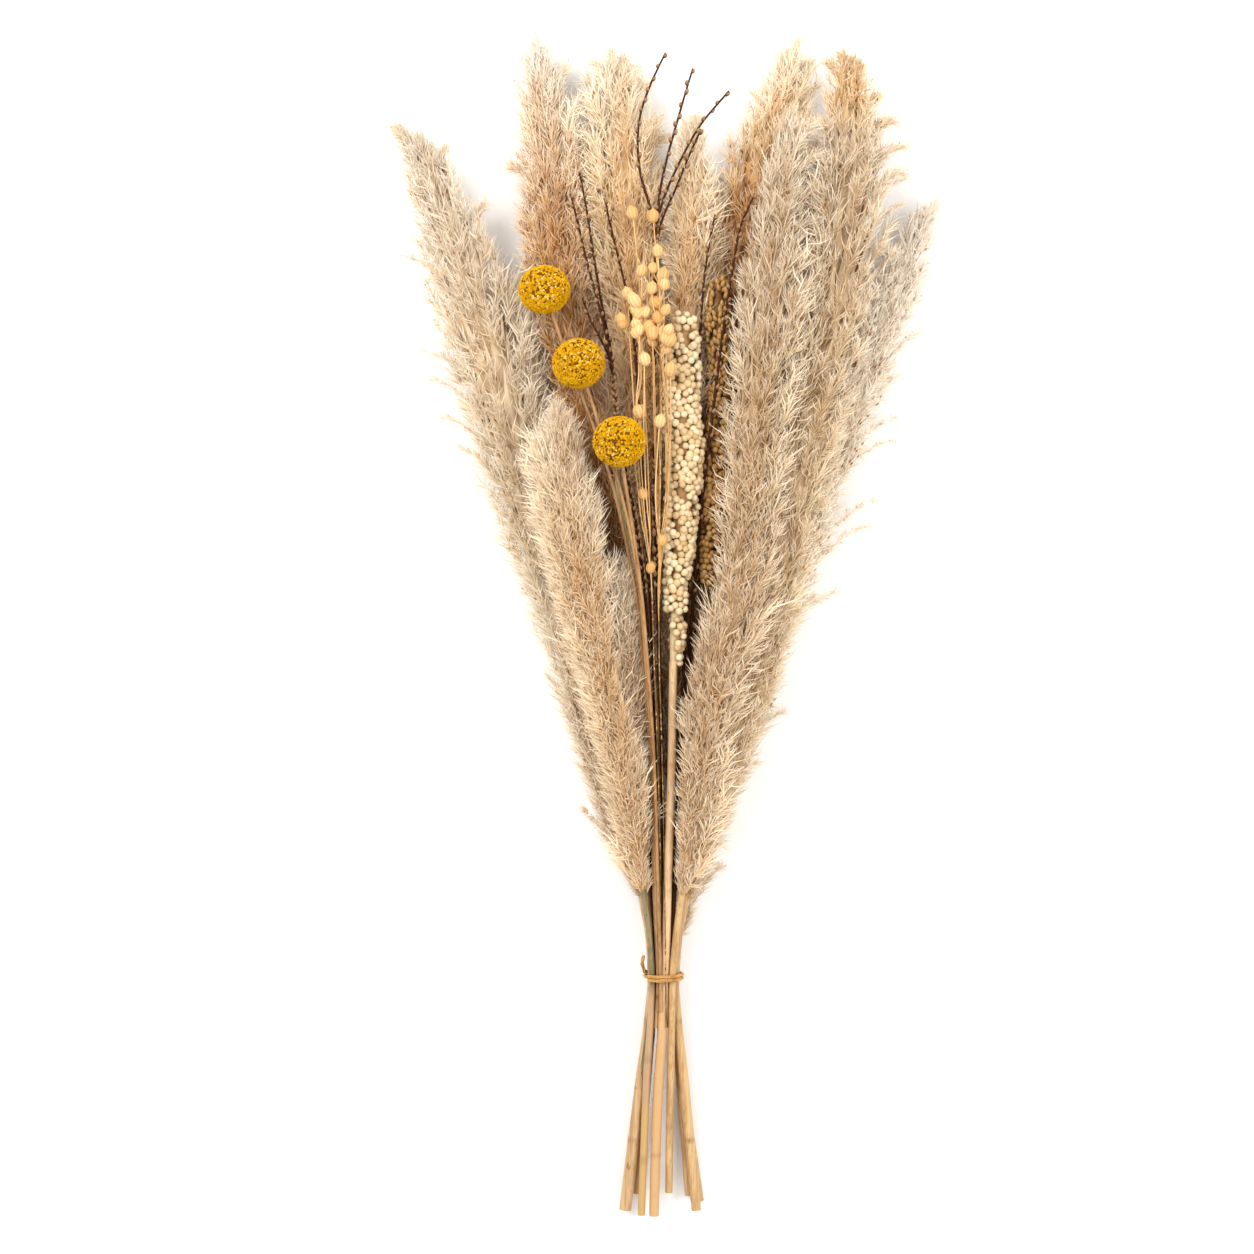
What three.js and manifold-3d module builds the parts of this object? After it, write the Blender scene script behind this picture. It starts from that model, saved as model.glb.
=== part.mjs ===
// A tied bunch of dried pampas plumes with button flowers, flax, bead berries and dark twigs.
// Millimetres, +Z up. The bunch lies on its side: the plume tips point along +Y, the cut ends
// along -Y, and +X is the right hand side seen from above. Every route below is written from the
// middle of the tie, and the whole bunch is moved at the end so that its box stands on the origin.

import * as THREE from 'three';
import { mergeVertices } from 'three/addons/utils/BufferGeometryUtils.js';
import Module from 'manifold-3d';

const wasm = await Module();
wasm.setup();

// ---------------------------------------------------------------- driving dimensions

const SLICE = 10; // distance between the slices in which the pieces are laid clear of each other
const SETTLING_ROUNDS = 420;
const LAST_ROUNDS = 120; // of those, rounds without smoothing or drawing in
const GAP = 0.4; // least clearance between two neighbouring pieces
const FLUFF_GAP = 0.8; // clearance of a tuft to the edge of its own plume's room
const PARTING = 0.52; // each of two strands in the way moves this share of their overlap
const SMOOTHING = 0.3; // share of the way to the mean of its neighbours in one round
const BRANCHING = 30; // length over which a branch parts from the strand that carries it

const CORE_SHARE = 0.5; // a plume's core radius as a share of its reach
const CORE_TIP = 0.7; // least core radius
const LEAST_TUFT = 2.6; // room for the shortest tuft over the core
const TUFT_SPREAD = 0.16; // how much the reach of tufts varies
const TUFT_CLEARANCE = 0.3; // a tuft would still be clear if it stood this much higher
const LOWERING = 0.5; // step by which a tuft in the way is lowered
const RINGS_IN_REACH = 5; // a tuft reaches over this many rings of others
const NEAR_TIP = 0.6; // the last tufts end this far along what is left of the plume
const TUFT_LENGTH = 1.5; // how far a tuft reaches past its own diamond, in ring steps
const TUFT_LENGTH_SPREAD = 0.9;
const CORE_STOPS = 1.6; // the core stops this many ring steps short of the tip
const CORE_CLOSES = 2.5; // and closes over this many

const TIE_HEIGHT = 19; // middle of the tie over the table
const TIE_REACH = 9; // the tie draws in the slices this near to it
const TIE_PULL = 0.03; // share of the way to the middle in one round
const TIE_STRAND = 0.9; // radius of the raffia
const TIE_PITCH = 2.6; // distance between its two turns
const TIE_TURNS = 2.1;
const TIE_STEPS = 17; // straight steps in one turn
const TIE_SLACK = 0.3; // room for the raffia's straight steps round the outermost stems

const SEAT = 0.3; // gap between a stem and the head that it carries
const STEM_SPACING = 26; // distance between the rings of a stem
const BUTTON_RADIUS = 14.3;
const BUTTON_SQUASH = 0.93; // length of a button along its stalk as a share of its width
const BUTTON_FLORETS = 0.09; // depth of the pits between its florets as a share of the radius
const BUTTON_STALK = 1;
const POD_RADIUS = 3.5;
const POD_LENGTH = 9;
const STRAW = 0.6;
const STRAW_SPACING = 34;
const TWIG = 0.75;
const BUD_SPACING = 17;
const BLADE_HALF_THICKNESS = 0.5;
const SLIVER = 0.02; // what is thinner than this is cleared away where branches meet

const FLUFF = 0.95; // roughness of what is hairy, dry or smooth
const DRY = 0.75;
const SMOOTH = 0.6;

// ---------------------------------------------------------------- routes
// A stem is written from its cut end as [x, y, z]. A plume's points are [x, y, z, reach],
// from its base to its tip, and reach is how far the tufts stand from its own middle line.

const PLUMES = {
  outer_left: {
    colour: '#e6cfae',
    stemColour: '#c9a878',
    stem: [[-21.8, -135.5, 8], [-13, -60, 12.5], [-7, 0, 17.5]],
    cut: 3.1,
    neck: 1.9,
    sides: 7,
    ringStep: 14.5,
    plume: [
      [-12.3, 47.6, 19.5, 3.4],
      [-23.5, 76.7, 20, 10],
      [-33.6, 121.5, 22, 14.5],
      [-48.2, 177.5, 24, 18.5],
      [-63.8, 233, 25, 22],
      [-83.4, 294.6, 26, 26],
      [-96.9, 357.3, 27, 30],
      [-115.4, 408.8, 26, 24],
      [-129.9, 448, 25, 18],
      [-147.8, 487.2, 24, 4],
    ],
  },
  inner_left: {
    colour: '#ead9c4',
    stemColour: '#93875f',
    stem: [[-11.8, -137.8, 12], [-8.5, -60, 18], [-5, 0, 25]],
    cut: 1.9,
    neck: 1.7,
    sides: 7,
    ringStep: 11,
    plume: [
      [-10.6, 51.5, 31, 2.8],
      [-16.2, 83.4, 35, 8.5],
      [-23.5, 135, 44, 13],
      [-35.3, 188.7, 53, 16.5],
      [-47, 229.6, 58, 18],
      [-52, 268.8, 60, 18],
      [-57.5, 296.8, 60, 14],
      [-60, 324.8, 58, 3],
    ],
  },
  small_left: {
    colour: '#d9cbb8',
    stemColour: '#b89a70',
    stem: [[-3, -30, 19], [-3, 0, 20]],
    cut: 1.3,
    neck: 1.1,
    sides: 5,
    ringStep: 9,
    plume: [
      [-11.2, 67.2, 25, 2.2],
      [-12.9, 112, 32, 6],
      [-14.2, 151.2, 41, 8],
      [-18.5, 184.8, 47, 8.5],
      [-21.8, 212.8, 50, 7.5],
      [-22, 237.4, 52, 2],
    ],
  },
  upper_left: {
    colour: '#c9a377',
    stemColour: '#c4a06c',
    stem: [[-15.1, -127, 2.6], [-9, -60, 7], [-5, 0, 12]],
    cut: 2.2,
    neck: 1.8,
    sides: 7,
    ringStep: 14,
    plume: [
      [-9, 106.4, 16, 3.2],
      [-13.4, 156.8, 18, 8.5],
      [-21.3, 212.8, 20, 12.5],
      [-32.5, 268.8, 20, 17],
      [-46, 324.8, 21, 20],
      [-58.2, 380.8, 22, 22],
      [-62.7, 436.8, 22, 21.5],
      [-65, 487.2, 21, 17],
      [-71, 515.2, 20, 10],
      [-71.7, 536.5, 20, 3],
    ],
  },
  centre_back: {
    colour: '#e3c594',
    stemColour: '#c9a878',
    stem: [[-2, -40, 11], [-1, 0, 12]],
    cut: 1.9,
    neck: 1.7,
    sides: 7,
    ringStep: 14,
    plume: [
      [-2.2, 145.6, 17, 3.2],
      [-4.5, 212.8, 19, 10],
      [-7.8, 280, 20, 15.5],
      [-13.4, 352.8, 22, 20],
      [-20, 420, 24, 24],
      [-23, 464.8, 24, 24],
      [-25.8, 492.8, 24, 20],
      [-27.4, 515.2, 24, 12],
      [-29, 527.5, 24, 4],
    ],
  },
  small_centre: {
    colour: '#e7cda2',
    stemColour: '#c9a878',
    stem: [[1, -30, 17], [1, 0, 18], [4, 150, 30], [6, 230, 36]],
    cut: 1.2,
    neck: 1,
    sides: 5,
    ringStep: 9,
    plume: [
      [9, 291.2, 40, 2],
      [11.2, 341.6, 43, 8],
      [13.4, 392, 44, 9.5],
      [14, 436.8, 44, 10],
      [14.6, 470.4, 43, 8],
      [16.8, 486.6, 43, 2],
    ],
  },
  right_back: {
    colour: '#dfb37c',
    stemColour: '#cda66a',
    stem: [[21.3, -131.6, 1.9], [11, -60, 6], [4, 0, 11.5]],
    cut: 1.8,
    neck: 1.8,
    sides: 7,
    ringStep: 15,
    plume: [
      [5, 112, 15, 3.2],
      [9, 156.8, 16, 8],
      [16.8, 224, 19, 12.5],
      [25.8, 291.2, 21, 17],
      [35.8, 352.8, 23, 21],
      [45.4, 408.8, 25, 25],
      [53.8, 453.6, 26, 26],
      [67.2, 487.2, 25, 22],
      [73.9, 515.2, 24, 12],
      [75, 533.1, 24, 3],
    ],
  },
  front_right: {
    colour: '#b8a18a',
    stemColour: '#d2b070',
    stem: [[2.2, -125.4, 9], [2.5, -60, 15], [3.5, 0, 25]],
    cut: 1.9,
    neck: 1.9,
    sides: 7,
    ringStep: 13,
    plume: [
      [11.2, 50.4, 32, 2.8],
      [16.8, 78.4, 36, 8.5],
      [21.3, 112, 42, 13],
      [29.1, 162.4, 49, 16.5],
      [42.6, 207.2, 54, 16],
      [47, 246.4, 57, 18],
      [51, 291.2, 60, 19],
      [54.9, 336, 62, 20],
      [58.2, 380.8, 63, 20],
      [60.5, 420, 63, 18],
      [65, 459.2, 62, 13],
      [68.9, 488.3, 60, 3],
    ],
  },
  tall_right: {
    colour: '#c2a98c',
    stemColour: '#d2b070',
    stem: [[19, -135.5, 9], [12, -60, 14], [7, 0, 20]],
    cut: 2.5,
    neck: 2.1,
    sides: 7,
    ringStep: 15,
    plume: [
      [12.3, 47.6, 24, 3],
      [21.3, 78.4, 27, 9],
      [32.5, 123.2, 33, 14],
      [45.4, 168, 39, 16.5],
      [56.6, 212.8, 43, 18.5],
      [63.8, 246.4, 46, 20],
      [73.4, 285.6, 47, 21.5],
      [82.9, 324.8, 47, 23.5],
      [90.2, 358.4, 46, 25],
      [97.4, 397.6, 45, 27],
      [101.4, 436.8, 44, 27],
      [103, 476, 42, 20],
      [104.2, 501.2, 41, 12],
      [102.5, 522.5, 40, 3],
    ],
  },
  outer_right: {
    colour: '#e8d0a8',
    stemColour: '#cfae74',
    stem: [[15.1, -128.2, 2], [10, -60, 7], [6, 0, 14]],
    cut: 1.8,
    neck: 1.8,
    sides: 6,
    ringStep: 12,
    plume: [
      [10.6, 25.2, 14, 2.8],
      [16.2, 50.4, 14.5, 7],
      [24.6, 89.6, 14.5, 12],
      [35.8, 128.8, 16, 15.5],
      [49.3, 162.4, 17, 18],
      [59.4, 201.6, 18, 18],
      [75, 235.2, 19, 18],
      [84.6, 274.4, 19, 17.5],
      [101.9, 313.6, 20, 18],
      [117.6, 352.8, 20, 17],
      [128.2, 380.8, 20, 15],
      [137.8, 408.8, 19, 13],
      [147.3, 428.4, 18, 7],
      [154.6, 444.1, 18, 2],
    ],
  },
};

// The berries stand round their stalk from first to last, and reach is the outside of the beads.
const BERRIES = {
  berry_spike: {
    colour: '#efe3cb',
    stemColour: '#d8b98c',
    cut: 2.5,
    neck: 2.3,
    stem: [
      [-6.7, -138.3, 10.5],
      [-5, -44.8, 19],
      [-1.5, 0, 25],
      [0.6, 56, 31],
      [3.9, 129.4, 39],
      [4.5, 165, 43],
    ],
    sides: 7,
    ringStep: 6.6,
    head: [
      [5, 178, 45, 4],
      [6, 196, 47, 6],
      [6.7, 212.8, 48, 6.5],
      [9, 235.2, 51, 8],
      [10.6, 268.8, 54, 9.5],
      [11.8, 290, 56, 10.5],
      [10.6, 324.8, 58, 10],
      [11.2, 358, 59, 8],
      [11.2, 368.5, 59, 4.5],
    ],
  },
  side_spike: {
    colour: '#cfae7c',
    stemColour: '#b08a55',
    cut: 1.3,
    neck: 1.2,
    stem: [[2, -30, 20], [1.5, 0, 20], [5, 60, 24], [12, 150, 34]],
    sides: 5,
    ringStep: 7.4,
    head: [
      [22.4, 222.3, 42, 3.4],
      [24, 243.6, 45, 6],
      [25.2, 282.2, 48, 7],
      [28, 312.5, 50, 6],
      [28.6, 345, 50, 6],
      [28.6, 374.6, 50, 7],
      [30, 389.8, 50, 3.4],
    ],
  },
};

// Each button flower is one head on its own stalk, and the last point is the middle of the head.
const BUTTONS = {
  button_high: [
    [-3.5, -30, 22], [-4, 0, 23], [-6, 45, 29], [-8, 123, 40], [-12.5, 180, 49], [-15.5, 215, 53],
    [-20.5, 242, 56], [-29, 280, 58], [-36, 300, 57], [-46.5, 330, 52], [-56, 354, 51],
    [-66, 384.7, 58],
  ],
  button_middle: [
    [-2, -20, 25], [-2.5, 0, 26], [-4, 45, 32], [-6.5, 123, 43], [-10.5, 180, 52], [-13, 215, 57],
    [-17, 242, 61], [-26, 280, 66], [-33, 300, 67], [-40, 322, 66], [-47.6, 342.7, 63],
  ],
  button_low: [
    [-1, -20, 26], [-1, 0, 28], [-2.5, 45, 34], [-5, 123, 46], [-8.5, 180, 56], [-11, 215, 61],
    [-14, 242, 66], [-18.5, 275, 72], [-21.3, 298.5, 74],
  ],
};

// Dark twigs: the first route of a spray runs from the tie, and the others branch off it.
const TWIG_SPRAYS = {
  twig_centre: [
    [
      [0, -20, 21], [0, 0, 22], [1, 60, 30], [-1, 130, 42], [-3, 200, 52], [-5, 260, 58],
      [-5.5, 325, 60], [-5, 380, 61], [-4.5, 420, 62], [-1.7, 443.5, 63], [1.7, 457.5, 63],
      [5.6, 471, 64], [11.2, 490.6, 64], [16.8, 509, 64],
    ],
    [[-5, 412, 62], [-10.5, 430, 63], [-13, 443, 64], [-15.1, 462, 66], [-13.4, 481.6, 67],
      [-8.4, 495, 67], [0.6, 513.5, 67]],
    [[-4.5, 420, 62], [6.7, 448.6, 61], [13.4, 466.5, 61], [17.9, 473.2, 61], [27.4, 482.7, 61],
      [35.8, 493.4, 62]],
    [[-5, 405, 61], [3.4, 433.4, 58], [9.5, 446.3, 57], [15.7, 464.2, 56], [21.8, 476, 56]],
  ],
  twig_left: [
    [
      [-4, -20, 19], [-4.5, 0, 20.5], [-7, 60, 28], [-8, 130, 38], [-10, 200, 48],
      [-16.5, 257.6, 54], [-25, 300, 54], [-28, 330, 54], [-29.7, 351.7, 53], [-33.6, 369.6, 52],
      [-36.9, 388.6, 52], [-40.3, 410.5, 53], [-43.1, 429, 54], [-47, 449.1, 56],
    ],
    [[-27, 322, 54], [-33, 362.9, 56], [-38.5, 383, 57], [-43.5, 401.5, 58], [-47.5, 419.4, 58],
      [-52.6, 439.6, 59]],
    [[-29, 338, 54], [-36.4, 355, 51], [-40.3, 365.1, 50], [-45.9, 381.4, 50]],
  ],
  twig_slim_left: [
    [
      [-2.5, -20, 16], [-2.5, 0, 17], [-4, 60, 24], [-5, 130, 34], [-7, 200, 44], [-11, 260, 50],
      [-14, 310, 51], [-15.7, 345, 51], [-17.4, 362.9, 51], [-20.2, 379.7, 52],
      [-25.2, 401.5, 53], [-30.2, 420.6, 54], [-33, 435, 55],
    ],
  ],
  twig_slim_right: [
    [
      [3.5, -20, 19], [3.5, 0, 20.5], [6, 60, 26], [9, 130, 34], [12, 200, 41], [15, 260, 45],
      [18, 320, 50], [20, 360, 54], [21.3, 385.3, 56], [24.6, 408.8, 57], [28, 425.6, 58],
    ],
  ],
  twig_right: [
    [
      [5, -20, 16], [5, 0, 17.5], [8, 60, 23], [12, 130, 31], [17, 200, 39], [23, 260, 47],
      [28, 310, 57], [32.5, 352.8, 62], [37.5, 389.8, 65], [40.9, 409.9, 66], [44.2, 426.2, 67],
      [50.4, 435.7, 68],
    ],
  ],
};

// Flax: a main straw from the tie, then straws that leave it, each ending in the middle of a pod.
const FLAX_SPRAYS = {
  flax_left: {
    main: [[-1.5, -30, 21], [-1.5, 0, 24], [-2, 60, 36], [-3.5, 120, 47], [-6, 184.8, 58],
      [-8.5, 268.8, 68], [-11, 325, 70], [-13, 375, 69], [-15, 405, 68], [-18.5, 430, 67]],
    straws: [
      [[-7, 215, 62], [-13, 290, 70], [-12.3, 400.9, 74]],
      [[-7, 220, 62], [-15, 290, 66], [-20.7, 386.4, 70]],
      [[-7.5, 230, 63], [-15, 285, 70], [-15.1, 365.1, 77]],
      [[-7.5, 240, 64], [-12, 290, 73], [-11.2, 352, 78]],
      [[-7, 225, 62], [-17, 280, 66], [-16.2, 329.3, 74]],
    ],
  },
  flax_right: {
    main: [[0.5, -30, 24], [0.5, 0, 27.5], [0, 60, 38], [-1, 120, 49], [-3, 184.8, 60],
      [-2.5, 268.8, 70], [-1.5, 325, 72], [-2.5, 375, 71], [-4.5, 400, 70], [-6.7, 428, 69]],
    straws: [
      [[-3, 215, 62], [1, 290, 72], [-4.2, 411, 78]],
      [[-3, 225, 63], [2, 290, 70], [-1.2, 398, 70]],
      [[-3, 230, 64], [-5.5, 290, 74], [-7.5, 388, 78]],
      [[-2.8, 235, 65], [2, 290, 74], [-4.5, 372, 79]],
      [[-2.6, 220, 63], [3, 280, 66], [2.8, 363, 73]],
      [[-2.6, 240, 66], [3, 290, 72], [3.2, 343, 77]],
      [[-2.6, 228, 64], [-6, 290, 76], [-1, 318, 80]],
    ],
  },
};

const DRY_STALK = {
  route: [[1, -30, 13], [1, 0, 14.5], [0, 60, 22], [-3, 144, 33], [-6.2, 171, 38], [-7, 197, 42],
    [-11.2, 231, 47], [-17.4, 268.8, 50]],
  radius: 1.1,
};

const LEAF = {
  route: [[-6, -20, 14], [-6.5, 0, 15], [-9, 60, 24], [-9, 130, 36], [-12, 190, 46],
    [-17.5, 229.6, 50], [-24.5, 254.8, 55], [-30.5, 290, 58]],
  stalk: 0.8,
  bladeFrom: 215,
  halfWidth: 3.2,
};

// ---------------------------------------------------------------- small helpers

function seeded(seed) {
  let state = seed;
  return () => {
    state = (state + 0x6d2b79f5) | 0;
    let t = Math.imul(state ^ (state >>> 15), 1 | state);
    t = (t + Math.imul(t ^ (t >>> 7), 61 | t)) ^ t;
    return ((t ^ (t >>> 14)) >>> 0) / 4294967296;
  };
}

const clamp = (value, low, high) => Math.max(low, Math.min(high, value));

function ease(value) {
  const t = clamp(value, 0, 1);
  return t * t * (3 - 2 * t);
}

// A smooth value at y through one column of points that are sorted by their y.
function along(points, y, column) {
  const last = points.length - 1;
  const slope = (k) => {
    const before = points[Math.max(k - 1, 0)];
    const after = points[Math.min(k + 1, last)];
    return (after[column] - before[column]) / (after[1] - before[1]);
  };
  if (y <= points[0][1]) {
    return points[0][column] + slope(0) * (y - points[0][1]);
  }
  if (y >= points[last][1]) {
    return points[last][column] + slope(last) * (y - points[last][1]);
  }
  const k = points.findIndex((point) => point[1] > y) - 1;
  const length = points[k + 1][1] - points[k][1];
  const t = (y - points[k][1]) / length;
  const rise = points[k + 1][column] - points[k][column];
  const start = slope(k) * length;
  const end = slope(k + 1) * length;
  const bend = t * (1 - t);
  return (
    points[k][column] + rise * t * t * (3 - 2 * t) + bend * (1 - t) * start - bend * t * end
  );
}

// ---------------------------------------------------------------- strands
// Everything in the bunch is a strand: a middle line that climbs steadily in y, a solid radius
// that others keep clear of, and a reach that is how wide it would like to be.

const strands = [];

function addStrand({ name, route, solid, reach, parent, family }) {
  const strand = {
    name,
    route,
    parent,
    family: family ?? name,
    start: route[0][1],
    end: route.at(-1)[1],
    solid,
    reach: reach ?? solid,
    shift: new Map(),
  };
  const first = Math.floor(strand.start / SLICE) - 1;
  const last = Math.ceil(strand.end / SLICE) + 1;
  for (let slice = first; slice <= last; slice += 1) {
    strand.shift.set(slice, [0, 0]);
  }
  strand.centre = (y) => centreOf(strand, y);
  strands.push(strand);
  return strand;
}

function ownCentre(strand, y) {
  const keys = [...strand.shift.keys()];
  const at = clamp(y / SLICE, keys[0], keys.at(-1));
  const low = Math.min(Math.floor(at), keys.at(-1) - 1);
  const t = at - low;
  const a = strand.shift.get(low);
  const b = strand.shift.get(low + 1);
  return [
    along(strand.route, y, 0) + a[0] * (1 - t) + b[0] * t,
    along(strand.route, y, 2) + a[1] * (1 - t) + b[1] * t,
  ];
}

function centreOf(strand, y) {
  const own = ownCentre(strand, y);
  if (!strand.parent) {
    return own;
  }
  const part = ease((y - strand.start) / BRANCHING);
  const carrier = centreOf(strand.parent, y);
  return [0, 1].map((axis) => carrier[axis] * (1 - part) + own[axis] * part);
}

// Pushes strands apart in every slice, keeps their shapes smooth and draws them in at the tie.
function settle() {
  const slices = new Map();
  for (const strand of strands) {
    for (const slice of strand.shift.keys()) {
      const y = slice * SLICE;
      if (y < strand.start - SLICE / 2 || y > strand.end + SLICE / 2) {
        continue;
      }
      const inside = clamp(y, strand.start, strand.end);
      const entry = {
        strand,
        x: along(strand.route, y, 0),
        z: along(strand.route, y, 2),
        radius: strand.solid(inside),
        shift: strand.shift.get(slice),
      };
      slices.set(slice, [...(slices.get(slice) ?? []), entry]);
    }
  }
  for (let round = 0; round < SETTLING_ROUNDS; round += 1) {
    const shaping = round < SETTLING_ROUNDS - LAST_ROUNDS;
    for (const [slice, entries] of slices) {
      if (shaping && Math.abs(slice * SLICE) <= TIE_REACH) {
        drawIn(entries);
      }
      pushApart(entries);
    }
    if (shaping) {
      strands.forEach(smoothShift);
    }
  }
}

function drawIn(entries) {
  for (const { x, z, shift } of entries) {
    shift[0] += (0 - x - shift[0]) * TIE_PULL;
    shift[1] += (TIE_HEIGHT - z - shift[1]) * TIE_PULL;
  }
}

function pushApart(entries) {
  for (let i = 0; i < entries.length; i += 1) {
    const a = entries[i];
    for (let j = i + 1; j < entries.length; j += 1) {
      const b = entries[j];
      if (a.strand.family === b.strand.family) {
        continue;
      }
      const dx = b.x + b.shift[0] - a.x - a.shift[0];
      const dz = b.z + b.shift[1] - a.z - a.shift[1];
      const distance = Math.hypot(dx, dz) || 1e-6;
      const overlap = a.radius + b.radius + GAP - distance;
      if (overlap > 0) {
        const push = (overlap * PARTING) / distance;
        a.shift[0] -= dx * push;
        a.shift[1] -= dz * push;
        b.shift[0] += dx * push;
        b.shift[1] += dz * push;
      }
    }
    a.shift[1] += Math.max(0, a.radius - a.z - a.shift[1]);
  }
}

function smoothShift(strand) {
  const keys = [...strand.shift.keys()];
  const old = keys.map((key) => [...strand.shift.get(key)]);
  keys.forEach((key, k) => {
    const before = old[Math.max(k - 1, 0)];
    const after = old[Math.min(k + 1, keys.length - 1)];
    const shift = strand.shift.get(key);
    for (const axis of [0, 1]) {
      shift[axis] += SMOOTHING * ((before[axis] + after[axis]) / 2 - old[k][axis]);
    }
  });
}

// How far a strand may spread from its middle line at y towards an angle, before the table or
// the straight line that parts it from a neighbour in that slice.
function roomTowards(own, y, angle) {
  const [x, z] = own.centre(y);
  const dx = Math.cos(angle);
  const dz = Math.sin(angle);
  const alongside = 0.05; // a neighbour less in the way than this doesn't count
  let room = dz < 0 ? z / -dz : Infinity;
  for (const other of strands) {
    const near = y > other.start - SLICE / 2 && y < other.end + SLICE / 2;
    if (other.family === own.family || !near) {
      continue;
    }
    const [ox, oz] = other.centre(y);
    const distance = Math.hypot(ox - x, oz - z);
    const facing = ((ox - x) * dx + (oz - z) * dz) / distance;
    if (facing > alongside) {
      room = Math.min(room, (partingLine(own, other, y, distance) - FLUFF_GAP) / facing);
    }
  }
  return room;
}

function partingLine(own, other, y, distance) {
  const fringe = 1.5;
  const inOwn = clamp(y, own.start, own.end);
  const inOther = clamp(y, other.start, other.end);
  const wanted = own.reach(inOwn) + fringe;
  const line = (distance * wanted) / (wanted + other.reach(inOther) + fringe);
  return clamp(line, own.solid(inOwn) + GAP / 2, distance - other.solid(inOther) - GAP / 2);
}

// ---------------------------------------------------------------- meshes

function geometryOf(points, triangles) {
  const geometry = new THREE.BufferGeometry();
  geometry.setAttribute('position', new THREE.Float32BufferAttribute(points.flat(), 3));
  geometry.setIndex(triangles.flat());
  return geometry;
}

// A closed skin over rings that lie in slices: quads between rings, a fan at each end.
function loft(rings) {
  const points = rings.flat();
  const sides = rings[0].length;
  const triangles = [];
  for (let k = 0; k < rings.length - 1; k += 1) {
    for (let i = 0; i < sides; i += 1) {
      const a = k * sides + i;
      const b = k * sides + ((i + 1) % sides);
      triangles.push([a, a + sides, b], [b, a + sides, b + sides]);
    }
  }
  closeEnds(points, triangles, sides, rings.length);
  return geometryOf(points, triangles);
}

function closeEnds(points, triangles, sides, count) {
  const middle = (offset) => {
    const sum = [0, 0, 0];
    for (let i = 0; i < sides; i += 1) {
      points[offset + i].forEach((value, axis) => {
        sum[axis] += value / sides;
      });
    }
    return points.push(sum) - 1;
  };
  const first = middle(0);
  const last = middle((count - 1) * sides);
  for (let i = 0; i < sides; i += 1) {
    const next = (i + 1) % sides;
    const top = (count - 1) * sides;
    triangles.push([first, i, next], [last, top + next, top + i]);
  }
}

function ringAt(strand, y, sides, radiusX, radiusZ = radiusX, turn = 0) {
  const [x, z] = strand.centre(y);
  return Array.from({ length: sides }, (_, i) => {
    const angle = ((i + turn) / sides) * 2 * Math.PI;
    return [x + radiusX * Math.cos(angle), y, z + radiusZ * Math.sin(angle)];
  });
}

// A round stem between two heights along its strand.
function stemGeometry(strand, from, to, radiusAt, sides) {
  const steps = Math.max(2, Math.round((to - from) / STEM_SPACING));
  const rings = [];
  for (let k = 0; k <= steps; k += 1) {
    const y = from + ((to - from) * k) / steps;
    rings.push(ringAt(strand, y, sides, radiusAt(y)));
  }
  return loft(rings);
}

// Rings turned by half a side each leave diamonds between them. cover(diamond) returns the points
// it adds and its triangles, which keep the diamond's own edge, so the skin stays closed.
function diamonds(rings, cover) {
  const sides = rings[0].length;
  const points = rings.flat();
  const triangles = [];
  const index = (k, i) => k * sides + ((i + sides) % sides);
  for (let k = 0; k < rings.length - 2; k += 1) {
    for (let i = 0; i < sides; i += 1) {
      const left = k % 2 === 0 ? i - 1 : i;
      const edge = [index(k, i), index(k + 1, left), index(k + 2, i), index(k + 1, left + 1)];
      cover({ ring: k, side: i, edge, points, triangles });
    }
  }
  const end = rings.length - 1;
  for (let i = 0; i < sides; i += 1) {
    triangles.push([index(0, i), index(1, i), index(0, i + 1)]);
    const left = (end - 1) % 2 === 0 ? i - 1 : i;
    triangles.push([index(end - 1, i), index(end, left), index(end, left + 1)]);
  }
  closeEnds(points, triangles, sides, rings.length);
  return geometryOf(points, triangles);
}

function middleOf(edge, points) {
  return [0, 1, 2].map((axis) => edge.reduce((sum, i) => sum + points[i][axis] / 4, 0));
}

const less = (a, b) => [a[0] - b[0], a[1] - b[1], a[2] - b[2]];
const dot = (a, b) => a[0] * b[0] + a[1] * b[1] + a[2] * b[2];
const crossOf = (a, b) => [
  a[1] * b[2] - a[2] * b[1],
  a[2] * b[0] - a[0] * b[2],
  a[0] * b[1] - a[1] * b[0],
];

// Whether the straight line from p to q passes through the inside of a triangle.
function pierces(p, q, [a, b, c]) {
  const edge = 1e-5;
  const way = less(q, p);
  const ab = less(b, a);
  const ac = less(c, a);
  const h = crossOf(way, ac);
  const size = dot(ab, h);
  if (Math.abs(size) < 1e-9) {
    return false;
  }
  const s = less(p, a);
  const u = dot(s, h) / size;
  if (u < edge || u > 1 - edge) {
    return false;
  }
  const n = crossOf(s, ab);
  const v = dot(way, n) / size;
  if (v < edge || u + v > 1 - edge) {
    return false;
  }
  const t = dot(ac, n) / size;
  return t > edge && t < 1 - edge;
}

function trianglesCross(one, two) {
  for (const axis of [1, 0, 2]) {
    const low = (t) => Math.min(t[0][axis], t[1][axis], t[2][axis]);
    const high = (t) => Math.max(t[0][axis], t[1][axis], t[2][axis]);
    if (low(one) > high(two) || low(two) > high(one)) {
      return false;
    }
  }
  for (let i = 0; i < 3; i += 1) {
    const next = (i + 1) % 3;
    if (pierces(one[i], one[next], two) || pierces(two[i], two[next], one)) {
      return true;
    }
  }
  return false;
}

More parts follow.
